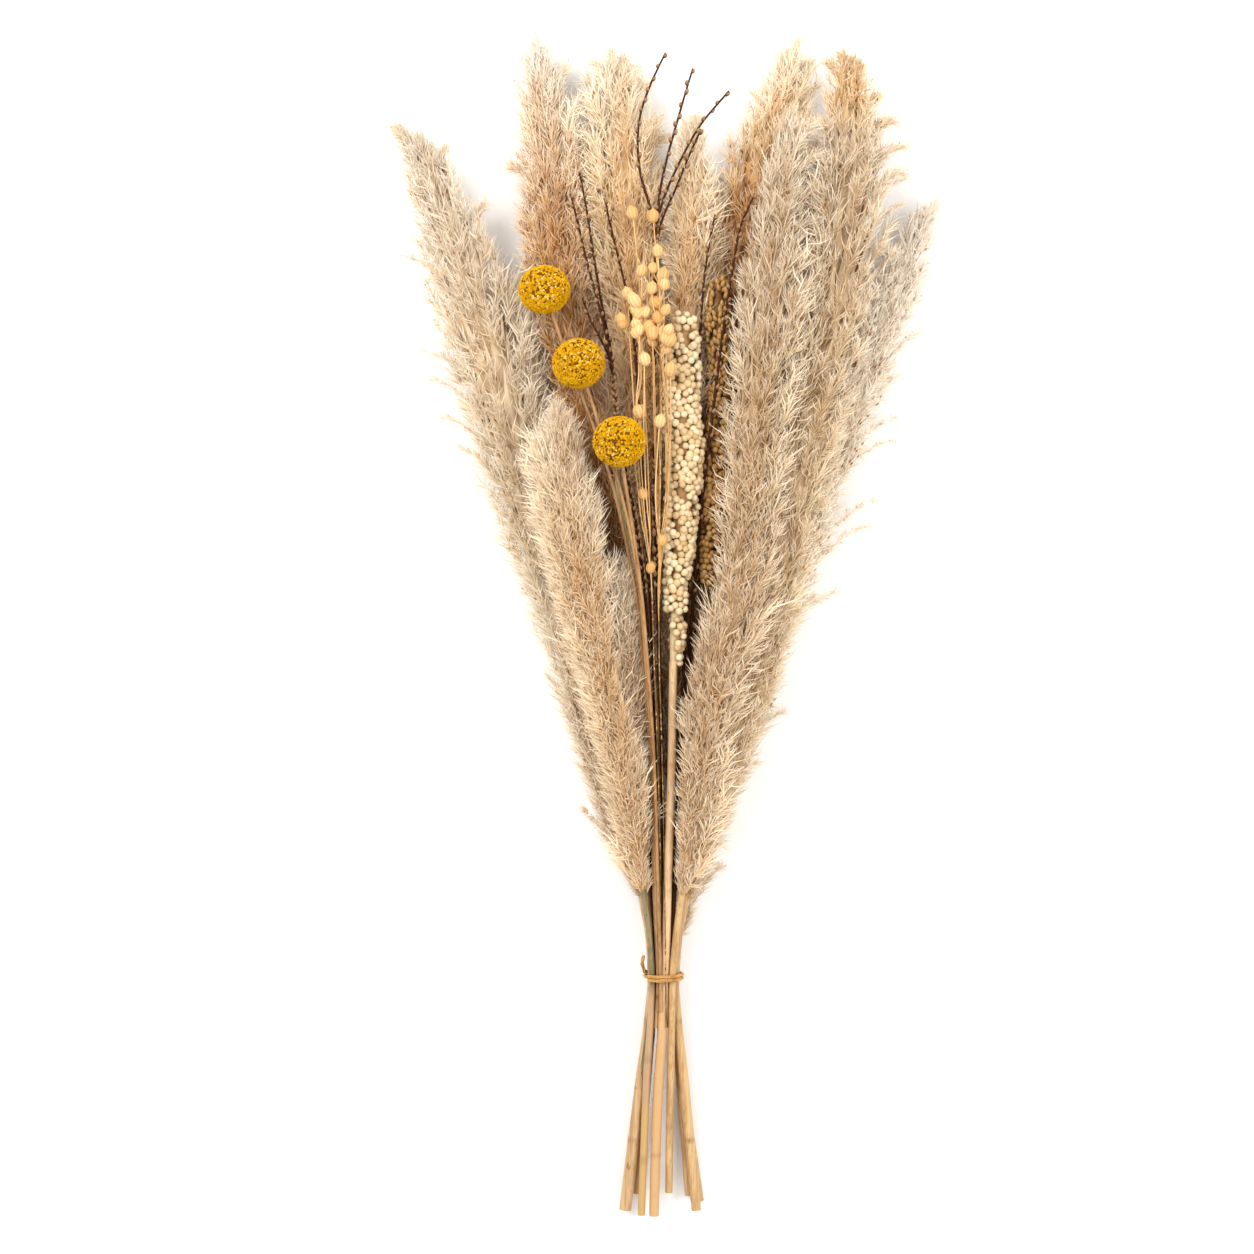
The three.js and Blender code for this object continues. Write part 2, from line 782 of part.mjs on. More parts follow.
// A plume: a slim core whose every diamond rises into a tuft that leans towards the tip. A tuft
// that would run into one behind it is lowered, and lies flat where it finds no room at all.
function plumeGeometry(strand, { sides, ringStep, plume }, seed) {
  const from = plume[0][1];
  const tip = plume.at(-1)[1];
  const coreEnd = tip - CORE_STOPS * ringStep;
  const steps = Math.round((coreEnd - from) / ringStep);
  const heightOf = (k) => from + ((coreEnd - from) * k) / steps;
  const angleOf = (k, i) => ((i + (k % 2) / 2) / sides) * 2 * Math.PI;
  const coreTowards = (y, angle) => {
    const closing = ease((coreEnd - y) / (CORE_CLOSES * ringStep));
    const wanted = CORE_SHARE * along(plume, y, 3) * closing;
    return Math.max(CORE_TIP, Math.min(wanted, roomTowards(strand, y, angle) - LEAST_TUFT / 2));
  };
  const pointAt = (y, angle, radius) => {
    const [x, z] = strand.centre(y);
    return [x + radius * Math.cos(angle), y, z + radius * Math.sin(angle)];
  };
  const rings = [];
  for (let k = 0; k <= steps; k += 1) {
    const y = heightOf(k);
    rings.push(
      Array.from({ length: sides }, (_, i) => {
        const angle = angleOf(k, i);
        return pointAt(y, angle, coreTowards(y, angle));
      }),
    );
  }

  // The least and the most that a tuft may stand from the middle line where it ends, so that it
  // passes over the core in front of it and stays in the plume's own room.
  const boundsOf = (ring, angle, y) => {
    const middle = heightOf(ring + 1);
    const root = coreTowards(middle, angle);
    const before = heightOf(ring + 2);
    const front = coreTowards(before, angle);
    let most = Infinity;
    let least = LEAST_TUFT / 3;
    for (const part of [0.3, 0.5, 0.7, 0.85, 1]) {
      const room = roomTowards(strand, middle + (y - middle) * part, angle);
      most = Math.min(most, root + (room - root) / part);
      const ahead = before + (y - before) * part;
      const core = ahead < coreEnd ? coreTowards(ahead, angle) : 0;
      least = Math.max(least, front + (core + LEAST_TUFT / 4 - front) / part);
    }
    return { least, most };
  };

  const held = new Set(); // tufts that are kept flat because one in front has no other way
  const raiseAll = () => {
    const random = seeded(seed);
    const laid = []; // faces of the tufts behind that may still be in the way
    return diamonds(rings, ({ ring, side, edge, points, triangles }) => {
      const key = `${ring} ${side}`;
      const angle = angleOf(ring, side);
      const before = heightOf(ring + 2);
      const length = ringStep * (TUFT_LENGTH + TUFT_LENGTH_SPREAD * random());
      const y = before + Math.min(length, (tip - before) * NEAR_TIP);
      const spread = 1 - TUFT_SPREAD + 2 * TUFT_SPREAD * random();
      const { least, most } = boundsOf(ring, angle, y);
      const corners = edge.map((index) => points[index]);
      const facesTo = (top) => corners.map((corner, n) => [corner, corners[(n + 1) % 4], top]);
      const inTheWay = (top) => {
        const faces = facesTo(top);
        return laid.filter((other) => faces.some((face) => trianglesCross(face, other.face)));
      };
      const fits = (far) =>
        [far, far + TUFT_CLEARANCE].every((rise) => !inTheWay(pointAt(y, angle, rise)).length);
      let reach = Math.min(along(plume, y, 3) * spread, most);
      while (reach > least && !fits(reach)) {
        reach -= LOWERING;
      }
      const raised = reach > least && !held.has(key);
      const top = raised ? pointAt(y, angle, reach) : middleOf(edge, points);
      if (!raised) {
        inTheWay(top).forEach((other) => held.add(other.key));
      }
      laid.push(...facesTo(top).map((face) => ({ key, face })));
      laid.splice(0, Math.max(0, laid.length - sides * 4 * RINGS_IN_REACH));
      const apex = points.push(top) - 1;
      edge.forEach((corner, n) => {
        triangles.push([corner, edge[(n + 1) % 4], apex]);
      });
    });
  };
  for (;;) {
    const before = held.size;
    const geometry = raiseAll();
    if (held.size === before) {
      return geometry;
    }
  }
}

// A spike of beads: every diamond of the core rises into a blunt bump.
function berryGeometry(strand, { sides, ringStep, head }) {
  const bead = 2.4; // height of a bump over the core
  const waist = 0.62; // width of its top as a share of the diamond
  const from = head[0][1];
  const to = head.at(-1)[1];
  const steps = Math.round((to - from) / ringStep);
  const rings = [];
  for (let k = 0; k <= steps; k += 1) {
    const y = from + ((to - from) * k) / steps;
    const radius = Math.max(along(head, y, 3) - bead, 1);
    rings.push(ringAt(strand, y, sides, radius, radius, (k % 2) / 2));
  }
  return diamonds(rings, ({ edge, points, triangles }) => {
    const middle = middleOf(edge, points);
    const [x, z] = strand.centre(middle[1]);
    const outwards = new THREE.Vector3(middle[0] - x, 0, middle[2] - z).normalize();
    const top = edge.map((corner) => {
      const raised = points[corner].map(
        (value, axis) => middle[axis] + (value - middle[axis]) * waist,
      );
      raised[0] += outwards.x * bead;
      raised[2] += outwards.z * bead;
      return points.push(raised) - 1;
    });
    edge.forEach((corner, n) => {
      const next = (n + 1) % 4;
      triangles.push([corner, edge[next], top[n]], [top[n], edge[next], top[next]]);
    });
    triangles.push([top[0], top[1], top[2]], [top[0], top[2], top[3]]);
  });
}

// A button flower's head: a ball with pits between its florets, and none where its stalk comes up.
function buttonGeometry(strand) {
  const ball = mergeVertices(plain(new THREE.IcosahedronGeometry(BUTTON_RADIUS, 3)), 1e-3);
  const place = ball.getAttribute('position');
  const random = seeded(Math.round(strand.end));
  const [x, z] = strand.centre(strand.end);
  const smoothBelow = -0.7 * BUTTON_RADIUS;
  for (let i = 0; i < place.count; i += 1) {
    const pit = BUTTON_FLORETS * random();
    const lift = place.getY(i) < smoothBelow ? 1 : 1 - pit;
    place.setXYZ(
      i,
      x + place.getX(i) * lift,
      strand.end + place.getY(i) * lift * BUTTON_SQUASH,
      z + place.getZ(i) * lift,
    );
  }
  return ball;
}

// The height at which a stalk comes up to its button.
function stalkTop(strand) {
  const [x, z] = strand.centre(strand.end);
  const step = 0.1;
  const isClear = (y) =>
    ringAt(strand, y, 5, BUTTON_STALK).every((point) => {
      const below = (y - strand.end) / BUTTON_SQUASH;
      return Math.hypot(point[0] - x, below, point[2] - z) > BUTTON_RADIUS + SEAT;
    });
  let y = strand.end - 2 * BUTTON_RADIUS;
  while (isClear(y + step)) {
    y += step;
  }
  return y;
}

function plain(geometry) {
  geometry.deleteAttribute('normal');
  geometry.deleteAttribute('uv');
  return geometry;
}

function fuse(geometries) {
  const solids = geometries.map((geometry) => {
    const merged = mergeVertices(plain(geometry), 1e-3);
    return new wasm.Manifold(
      new wasm.Mesh({
        numProp: 3,
        vertProperties: new Float32Array(merged.getAttribute('position').array),
        triVerts: new Uint32Array(merged.getIndex().array),
      }),
    );
  });
  const whole = solids.reduce((sum, solid) => sum.add(solid)).simplify(SLIVER);
  const mesh = whole.getMesh();
  const geometry = new THREE.BufferGeometry();
  geometry.setAttribute('position', new THREE.BufferAttribute(mesh.vertProperties, 3));
  geometry.setIndex(new THREE.BufferAttribute(mesh.triVerts, 1));
  return geometry;
}

// A twig, with its buds as small swellings one after another.
function twigGeometry(strand) {
  const sides = 4;
  const steps = Math.max(3, Math.round((strand.end - strand.start) / BUD_SPACING));
  const rings = [];
  for (let k = 0; k <= steps; k += 1) {
    const share = k / steps;
    const y = strand.start + (strand.end - strand.start) * share;
    const thin = strand.parent || share > 0.7 ? 0.8 : 1;
    const bud = k % 2 === 0 ? 1 : 0.85;
    const radius = TWIG * thin * bud;
    rings.push(ringAt(strand, y, sides, radius, radius, k % 2 ? 0.5 : 0));
  }
  return loft(rings);
}

// A straw that ends in a pod. The pod is round and comes to a short point.
function strawGeometry(strand) {
  const sides = 4;
  const podSides = [
    [-0.5, STRAW], [-0.32, 0.75 * POD_RADIUS], [0, POD_RADIUS], [0.3, 0.7 * POD_RADIUS],
    [0.5, 0.3],
  ];
  const stalkEnd = strand.end - POD_LENGTH;
  const steps = Math.max(2, Math.round((stalkEnd - strand.start) / STRAW_SPACING));
  const turn = strand.parent ? 0.5 : 0; // a straw leaves the main one between its edges
  const rings = [];
  for (let k = 0; k < steps; k += 1) {
    const y = strand.start + ((stalkEnd - strand.start) * k) / steps;
    rings.push(ringAt(strand, y, sides, STRAW, STRAW, turn));
  }
  for (const [place, radius] of podSides) {
    const y = strand.end + (place - 0.5) * POD_LENGTH;
    rings.push(ringAt(strand, y, sides, radius, radius, turn));
  }
  return loft(rings);
}

function leafGeometry(strand) {
  const { bladeFrom, halfWidth, stalk } = LEAF;
  const rings = [];
  const spacing = 30;
  for (let y = strand.start; y < bladeFrom - spacing / 2; y += spacing) {
    rings.push(ringAt(strand, y, 4, stalk));
  }
  const bladeSteps = 8;
  for (let k = 0; k <= bladeSteps; k += 1) {
    const share = k / bladeSteps;
    const y = bladeFrom + (strand.end - bladeFrom) * share;
    const width = stalk + (halfWidth - stalk) * Math.sin(Math.PI * share) - 0.5 * share;
    rings.push(ringAt(strand, y, 4, width, BLADE_HALF_THICKNESS));
  }
  return loft(rings);
}

// Raffia wound round everything that passes the tie: its path lies on the outline of the stems.
function tieGeometry() {
  const path = [];
  const outline = (angle, y) => {
    const dx = Math.cos(angle);
    const dz = Math.sin(angle);
    let best = { far: -Infinity };
    for (const strand of strands) {
      if (strand.start < y && strand.end > y && !strand.parent) {
        const [x, z] = strand.centre(y);
        const far = x * dx + z * dz + strand.solid(y);
        if (far > best.far) {
          best = { far, x, z, radius: strand.solid(y) };
        }
      }
    }
    const out = best.radius + TIE_SLACK + GAP + TIE_STRAND;
    return new THREE.Vector3(best.x + out * dx, y, best.z + out * dz);
  };
  const from = Math.PI * 0.75;
  const steps = Math.round(TIE_TURNS * TIE_STEPS);
  for (let k = 0; k <= steps; k += 1) {
    const turn = k / TIE_STEPS;
    path.push(outline(from - turn * 2 * Math.PI, (turn - TIE_TURNS / 2) * TIE_PITCH));
  }
  const tail = [[-0.6, 2.2, 1.8], [-0.9, 2.8, 2.4], [0.2, 2.6, 2.2], [0.8, 2.2, 1.2]];
  for (const [dx, dy, dz] of tail) {
    path.push(path.at(-1).clone().add(new THREE.Vector3(dx, dy, dz)));
  }
  const section = new THREE.Shape();
  const corners = 5;
  for (let i = 0; i < corners; i += 1) {
    const angle = (i / corners) * 2 * Math.PI;
    const point = [TIE_STRAND * Math.cos(angle), TIE_STRAND * Math.sin(angle)];
    if (i === 0) {
      section.moveTo(...point);
    } else {
      section.lineTo(...point);
    }
  }
  const curve = new THREE.CatmullRomCurve3(path, false, 'centripetal');
  return mergeVertices(
    plain(
      new THREE.ExtrudeGeometry(section, {
        extrudePath: curve,
        steps: path.length - 1,
        bevelEnabled: false,
      }),
    ),
    1e-3,
  );
}

// ---------------------------------------------------------------- strands of this bunch

function stemRadius(stem, top, cut, neck) {
  const bottom = stem[0][1];
  return (y) => cut + (neck - cut) * ease((y - bottom) / (top - bottom));
}

// A stem that carries something wider: the solid radius changes where the head begins.
function headedStrand(name, { stem, cut, neck }, head, coreOf) {
  const base = head[0][1];
  const stemAt = stemRadius(stem, base, cut, neck);
  const reachAt = (y) => (y < base ? stemAt(y) : Math.max(along(head, y, 3), neck));
  return {
    stemAt,
    strand: addStrand({
      name,
      route: [...stem, ...head.map(([x, y, z]) => [x, y, z])],
      solid: (y) => (y < base ? stemAt(y) : Math.max(coreOf(reachAt(y)), neck)),
      reach: reachAt,
    }),
  };
}

const plumes = Object.entries(PLUMES).map(([name, plan]) => ({
  name,
  plan,
  ...headedStrand(name, plan, plan.plume, (reach) => CORE_SHARE * reach + LEAST_TUFT),
}));

const berries = Object.entries(BERRIES).map(([name, plan]) => ({
  name,
  plan,
  ...headedStrand(name, plan, plan.head, (reach) => reach + GAP),
}));

const buttons = Object.entries(BUTTONS).map(([name, route]) => {
  const middle = route.at(-1)[1];
  const ball = (y) => Math.sqrt(Math.max(0, BUTTON_RADIUS ** 2 - (y - middle) ** 2));
  const strand = addStrand({
    name,
    route,
    solid: (y) => Math.max(BUTTON_STALK, ball(y)),
  });
  return { name, strand };
});

function sprayStrands(name, routes, solid) {
  const main = addStrand({ name, route: routes[0], solid });
  const branches = routes.slice(1).map((route, k) =>
    addStrand({ name: `${name}_${k}`, route, solid, parent: main, family: name }),
  );
  return [main, ...branches];
}

const twigs = Object.entries(TWIG_SPRAYS).map(([name, routes]) => ({
  name,
  strands: sprayStrands(name, routes, () => TWIG),
}));

const flax = Object.entries(FLAX_SPRAYS).map(([name, { main, straws }]) => {
  const podded = (route) => {
    const end = route.at(-1)[1];
    return (y) => (y > end - POD_LENGTH - SLICE / 4 ? POD_RADIUS : STRAW);
  };
  const stalk = addStrand({ name, route: main, solid: podded(main) });
  const others = straws.map((route, k) =>
    addStrand({
      name: `${name}_${k}`,
      route,
      solid: podded(route),
      parent: stalk,
      family: name,
    }),
  );
  return { name, strands: [stalk, ...others] };
});

const dryStalk = addStrand({
  name: 'dry_stalk',
  route: DRY_STALK.route,
  solid: () => DRY_STALK.radius,
});

const leaf = addStrand({
  name: 'leaf',
  route: LEAF.route,
  solid: (y) => (y < LEAF.bladeFrom ? LEAF.stalk : LEAF.halfWidth),
});

settle();

// ---------------------------------------------------------------- the bunch

const bunch = new THREE.Group();

function addPiece(name, geometry, color, roughness) {
  const material = new THREE.MeshStandardMaterial({ color, roughness, metalness: 0 });
  const mesh = new THREE.Mesh(geometry, material);
  mesh.name = name;
  bunch.add(mesh);
}

const FIRST_SEED = 11;

plumes.forEach(({ name, plan, strand, stemAt }, k) => {
  const base = plan.plume[0][1];
  const stem = stemGeometry(strand, strand.start, base - SEAT, stemAt, 6);
  addPiece(`plume_${name}`, plumeGeometry(strand, plan, FIRST_SEED + k), plan.colour, FLUFF);
  addPiece(`stem_${name}`, stem, plan.stemColour, SMOOTH);
});

berries.forEach(({ name, plan, strand, stemAt }) => {
  const base = plan.head[0][1];
  const stem = stemGeometry(strand, strand.start, base - SEAT, stemAt, 6);
  addPiece(name, berryGeometry(strand, plan), plan.colour, DRY);
  addPiece(`stem_${name}`, stem, plan.stemColour, SMOOTH);
});

buttons.forEach(({ name, strand }) => {
  const stem = stemGeometry(strand, strand.start, stalkTop(strand), () => BUTTON_STALK, 5);
  addPiece(name, buttonGeometry(strand), '#dfa00f', FLUFF);
  addPiece(`stem_${name}`, stem, '#a9814e', SMOOTH);
});

twigs.forEach(({ name, strands: branches }) => {
  addPiece(name, fuse(branches.map(twigGeometry)), '#4a2a1c', DRY);
});

flax.forEach(({ name, strands: straws }) => {
  addPiece(name, fuse(straws.map(strawGeometry)), '#dfb577', SMOOTH);
});

const { start, end } = dryStalk;
addPiece('dry_stalk', stemGeometry(dryStalk, start, end, dryStalk.solid, 5), '#7a5230', DRY);
addPiece('leaf_blade', leafGeometry(leaf), '#8e8350', SMOOTH);
addPiece('tie', tieGeometry(), '#c08a3e', DRY);

const box = new THREE.Box3().setFromObject(bunch);
bunch.position.set(-(box.min.x + box.max.x) / 2, -(box.min.y + box.max.y) / 2, -box.min.z);

export default bunch;
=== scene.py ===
# A tied bunch of dried plumes, button flowers, flax, bead berries and dark twigs, lying down.
import math
from functools import partial

import bmesh
import bpy
import numpy as np
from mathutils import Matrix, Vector


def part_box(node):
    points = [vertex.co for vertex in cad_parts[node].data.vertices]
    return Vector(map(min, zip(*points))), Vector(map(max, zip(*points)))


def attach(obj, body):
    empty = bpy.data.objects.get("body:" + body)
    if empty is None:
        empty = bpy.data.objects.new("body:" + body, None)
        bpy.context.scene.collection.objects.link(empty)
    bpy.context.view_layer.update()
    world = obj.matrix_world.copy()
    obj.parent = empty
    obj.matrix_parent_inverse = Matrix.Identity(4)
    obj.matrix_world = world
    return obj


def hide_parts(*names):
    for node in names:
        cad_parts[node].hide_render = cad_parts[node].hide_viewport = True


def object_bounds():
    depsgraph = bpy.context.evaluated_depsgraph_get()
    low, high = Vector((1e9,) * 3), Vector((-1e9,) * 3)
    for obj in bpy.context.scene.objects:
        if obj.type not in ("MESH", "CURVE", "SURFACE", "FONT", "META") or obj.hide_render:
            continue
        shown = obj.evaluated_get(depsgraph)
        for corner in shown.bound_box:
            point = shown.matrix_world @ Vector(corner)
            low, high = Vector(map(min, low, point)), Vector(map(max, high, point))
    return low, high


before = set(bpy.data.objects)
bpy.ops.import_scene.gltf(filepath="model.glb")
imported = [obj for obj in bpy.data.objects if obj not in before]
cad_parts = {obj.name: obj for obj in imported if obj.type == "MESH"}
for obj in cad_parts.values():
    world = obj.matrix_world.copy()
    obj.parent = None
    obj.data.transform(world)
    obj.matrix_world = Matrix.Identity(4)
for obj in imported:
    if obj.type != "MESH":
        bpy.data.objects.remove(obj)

MM = 0.001
cad_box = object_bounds()

# ---- sizes, in metres

SPRAYS_ON_PLUME = 1350  # fine sprays of hairs on a large plume, the next five kinds included
FOOT_SPRAYS, TIP_SPRAYS, COLLAR_SPRAYS, SEAM_SPRAYS, SPRIG_SPRAYS = 110, 50, 56, 150, 20
TUFT_LENGTH = (12 * MM, 26 * MM)
SHORTEST_SPRAY = 5 * MM
BRIGHTER_TIP = 80 * MM  # length of a plume's point, where the shade between its hairs fades
HAIRS_IN_TUFT = 12
HAIR_WIDTH = 0.57 * MM  # a wisp of the real 0.1 mm hairs, so that single strands show
STALK_SIDES, THIN_STALK_SIDES = 18, 12
BEAD = 2.25 * MM  # radius of a bead berry
BEAD_ROW = 6.0 * MM  # from one ring of clusters to the next
FLORETS = 1700  # on one button
FLORET = 0.7 * MM
TABLE_GAP = 0.25 * MM  # nothing of the bunch goes lower
PIXEL = 0.56 * MM  # what one pixel of the photograph stands for
PICTURE = 1254  # its width in pixels
TIE_IN_PICTURE = (664, 980)  # the middle of the tie, from the left and the top
TIE_HEIGHT = -194.6 * MM  # y of the tie
UP = np.array([0.0, 1.0, 0.0])  # from the cut ends to the plumes' points


# ---- small helpers

def linear(colour):
    """An sRGB hex colour as linear RGBA."""
    values = [int(colour[i:i + 2], 16) / 255 for i in (1, 3, 5)]
    return tuple(v / 12.92 if v <= 0.04045 else ((v + 0.055) / 1.055) ** 2.4 for v in values) + (1.0,)


def feed(node, inputs):
    """Sets a node's sockets, by name or number: to a value, a hex colour, an output or a node,
    which stands for its first output in use."""
    for name, value in inputs.items():
        if isinstance(value, bpy.types.Node):
            value = next(output for output in value.outputs if output.enabled)
        if isinstance(value, bpy.types.NodeSocket):
            node.id_data.links.new(value, node.inputs[name])
        elif isinstance(value, str) and value.startswith("#"):
            node.inputs[name].default_value = linear(value)
        else:
            node.inputs[name].default_value = value


def add(tree, kind, inputs=None, stops=(), **settings):
    """Adds a node to a tree, with its settings, its inputs and the stops of its colour ramp."""
    node = tree.nodes.new(kind)
    for name, value in settings.items():
        setattr(node, name, value)
    for k, (place, colour) in enumerate(stops):
        elements = node.color_ramp.elements
        element = elements[k] if k < len(elements) else elements.new(1.0)
        element.position = place
        element.color = linear(colour) if isinstance(colour, str) else (colour, colour, colour, 1)
    feed(node, inputs or {})
    return node


def write_attributes(mesh, **attributes):
    for name, values in attributes.items():
        values = np.asarray(values)
        kind, field, number = "FLOAT", "value", np.float32
        if values.ndim == 2:
            kind, field = "FLOAT_VECTOR", "vector"
        elif values.dtype.kind == "i":
            kind, number = "INT", np.int32
        layer = mesh.attributes.new(name, kind, "POINT")
        layer.data.foreach_set(field, values.astype(number).ravel())


def mesh_of(name, points, faces=(), edges=(), **attributes):
    """A mesh from points and faces or edges. attributes are given for each point."""
    mesh = bpy.data.meshes.new(name)
    mesh.from_pydata([tuple(p) for p in points], edges, [tuple(int(i) for i in f) for f in faces])
    write_attributes(mesh, **attributes)
    mesh.update()
    return mesh


def mesh_from(form, name):
    """A mesh from an edited form, which is then let go."""
    mesh = bpy.data.meshes.new(name)
    form.to_mesh(mesh)
    form.free()
    return mesh


def placed(name, data):
    """A new object in the scene."""
    piece = bpy.data.objects.new(name, data)
    bpy.context.scene.collection.objects.link(piece)
    return piece


def points_of(mesh):
    flat = np.empty(len(mesh.vertices) * 3)
    mesh.vertices.foreach_get("co", flat)
    return flat.reshape(-1, 3)


def unit(vectors):
    return vectors / np.maximum(np.linalg.norm(vectors, axis=-1, keepdims=True), 1e-12)


def ring_angles(sides, turn=0.0):
    return [turn + 2 * math.pi * i / sides for i in range(sides)]


def level(angle):
    """A direction square to UP."""
    return np.array([math.cos(angle), 0, math.sin(angle)])


def skin(rings, sides, pointed=False, turned=False):
    """The faces of a closed tube through rings of points. It ends in a point or in a flat cap."""
    faces = []
    for k in range(rings - 1):
        for i in range(sides):
            a, b = k * sides + i, k * sides + (i + 1) % sides
            faces.append((a, a + sides, b + sides, b) if turned else (a, b, b + sides, a + sides))
    base, last, end = tuple(range(sides)), (rings - 1) * sides, rings * sides
    if pointed:
        return faces + [(last + i, last + (i + 1) % sides, end) for i in range(sides)] + [base[::-1]]
    top = tuple(range(last, end))
    return faces + ([base, top[::-1]] if turned else [base[::-1], top])


# ---- reading the CAD solids

def welded(node):
    """The corners of a CAD node, each once, and its triangles."""
    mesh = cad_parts[node].data
    mesh.calc_loop_triangles()
    corners = np.empty(len(mesh.loop_triangles) * 3, int)
    mesh.loop_triangles.foreach_get("vertices", corners)
    every = points_of(mesh)
    _, first, back = np.unique(np.round(every, 6), axis=0, return_index=True, return_inverse=True)
    return every[first], np.ravel(back)[corners].reshape(-1, 3)


def outlines_at(points, triangles, y):
    """The outlines in which the plane at y cuts a solid: x, z, half width and half height of each."""
    above = points[:, 1] > y
    crossed, group = {}, {}

    def top(key):
        while group[key] != key:
            key = group[key]
        return key

    for triangle in triangles[(above[triangles].sum(1) % 3) != 0]:
        keys = []
        for a, b in ((0, 1), (1, 2), (2, 0)):
            i, j = sorted((triangle[a], triangle[b]))
            if above[i] != above[j]:
                if (i, j) not in crossed:
                    t = (y - points[i, 1]) / (points[j, 1] - points[i, 1])
                    crossed[i, j] = points[i] + (points[j] - points[i]) * t
                    group[i, j] = (i, j)
                keys.append((i, j))
        group[top(keys[0])] = top(keys[1])
    loops = {}
    for key, point in crossed.items():
        loops.setdefault(top(key), []).append(point)
    found = []
    for loop in loops.values():
        low, high = np.min(loop, axis=0), np.max(loop, axis=0)
        found.append((*(low + high)[[0, 2]] / 2, *(high - low)[[0, 2]] / 2))
    return found


def smooth(path, rounds, columns=slice(None)):
    """Evens out the small steps of a path, and keeps its ends."""
    for _ in range(rounds):
        part = path[:, columns]
        path[1:-1, columns] = (part[:-2] + 2 * part[1:-1] + part[2:]) / 4
    return path


def paths_of(node, step=4 * MM):
    """The middle lines of a node's branches, upwards, as rows of x, y, z and radius."""
    points, triangles = welded(node)
    low, high = points[:, 1].min(), points[:, 1].max()
    paths = []
    # from the top down, so that branches are found before they meet
    for y in np.linspace(high - 0.05 * MM, low + 0.05 * MM, max(3, int((high - low) / step))):
        loops = outlines_at(points, triangles, y)
        rows = [(x, y, z, (across + upright) / 2) for x, z, across, upright in loops]
        taken = set()
        for path in paths:
            x, _, z, _ = path[-1]
            nearest = min(range(len(rows)), key=lambda k: math.hypot(rows[k][0] - x, rows[k][2] - z))
            taken.add(nearest)
            path.append(rows[nearest])
        paths.extend([row] for k, row in enumerate(rows) if k not in taken)
    return [smooth(np.array(path), 2, [0, 2])[::-1] for path in paths if len(path) > 3]


def on(line, y, columns=(0, 1, 2)):
    """The point of an upward line at a height, or other columns of its rows."""
    return np.array([np.interp(y, line[:, 1], line[:, k]) for k in columns])


def finer(path, step):
    """The points of a path at even heights about a step apart."""
    low, high = path[0, 1], path[-1, 1]
    return on(path, np.linspace(low, high, max(3, int((high - low) / step)))).T.copy()


# ---- geometry node trees

def new_tree(name, sockets):
    """A tree, the function that adds nodes to it, and its inputs."""
    tree = bpy.data.node_groups.new(name, "GeometryNodeTree")
    tree.interface.new_socket("Geometry", in_out="INPUT", socket_type="NodeSocketGeometry")
    for label, kind in sockets.items():
        tree.interface.new_socket(label, in_out="INPUT", socket_type="NodeSocket" + kind)
    tree.interface.new_socket("Geometry", in_out="OUTPUT", socket_type="NodeSocketGeometry")
    put = partial(add, tree)
    return tree, put, put("NodeGroupInput").outputs


def end_tree(tree, shape, material):
    real = add(tree, "GeometryNodeRealizeInstances", {"Geometry": shape})
    painted = add(tree, "GeometryNodeSetMaterial", {"Geometry": real, "Material": material})
    add(tree, "NodeGroupOutput", {"Geometry": painted})
    return tree


def repeats_tree():
    """Sets one of several small shapes on each point, along the point's lean, and joins a core."""
    tree, put, given = new_tree("repeats on points", {
        "Shapes": "Collection", "Core": "Object", "Seed": "Int", "Material": "Material"})
    lean, size, pick = (put("GeometryNodeInputNamedAttribute", {"Name": name}, data_type=kind)
                        for name, kind in (("lean", "FLOAT_VECTOR"), ("size", "FLOAT"), ("pick", "INT")))
    along = put("FunctionNodeAlignRotationToVector", {"Vector": lean}, axis="Z")
    angle = put("FunctionNodeRandomValue", {3: 2 * math.pi, "Seed": given["Seed"]}, data_type="FLOAT")
    turn = put("FunctionNodeAxisAngleToRotation", {"Axis": (0, 0, 1), "Angle": angle})
    way = put("FunctionNodeRotateRotation", {"Rotation": along, "Rotate By": turn}, rotation_space="LOCAL")
    shapes = put("GeometryNodeCollectionInfo", {
        "Collection": given["Shapes"], "Separate Children": True, "Reset Children": True})
    set_on = put("GeometryNodeInstanceOnPoints", {
        "Points": given["Geometry"], "Instance": shapes, "Pick Instance": True,
        "Instance Index": pick, "Rotation": way, "Scale": size})
    core = put("GeometryNodeObjectInfo", {"Object": given["Core"]}).outputs["Geometry"]
    both = put("GeometryNodeJoinGeometry", {0: core})
    feed(both, {0: set_on})
    return end_tree(tree, both, given["Material"])


def stalk_tree():
    """A round stalk along each line of edges, as thick as its points say."""
    tree, put, given = new_tree("stalk on a path", {"Sides": "Int", "Material": "Material"})
    line = put("GeometryNodeMeshToCurve", {"Mesh": given["Geometry"]})
    ring = put("GeometryNodeCurvePrimitiveCircle", {"Resolution": given["Sides"], "Radius": 1.0})
    marked, marked_ring = (
        put("GeometryNodeStoreNamedAttribute", {
            "Geometry": curve, "Name": name, "Value": put("GeometryNodeSplineParameter").outputs[measure]})
        for curve, name, measure in ((line, "along", "Length"), (ring, "around", "Factor")))
    thick = put("GeometryNodeInputNamedAttribute", {"Name": "thick"}, data_type="FLOAT")
    tube = put("GeometryNodeCurveToMesh", {
        "Curve": marked, "Profile Curve": marked_ring, "Scale": thick, "Fill Caps": True})
    return end_tree(tree, put("GeometryNodeSetShadeSmooth", {"Geometry": tube}), given["Material"])


REPEATS, STALKS = repeats_tree(), stalk_tree()


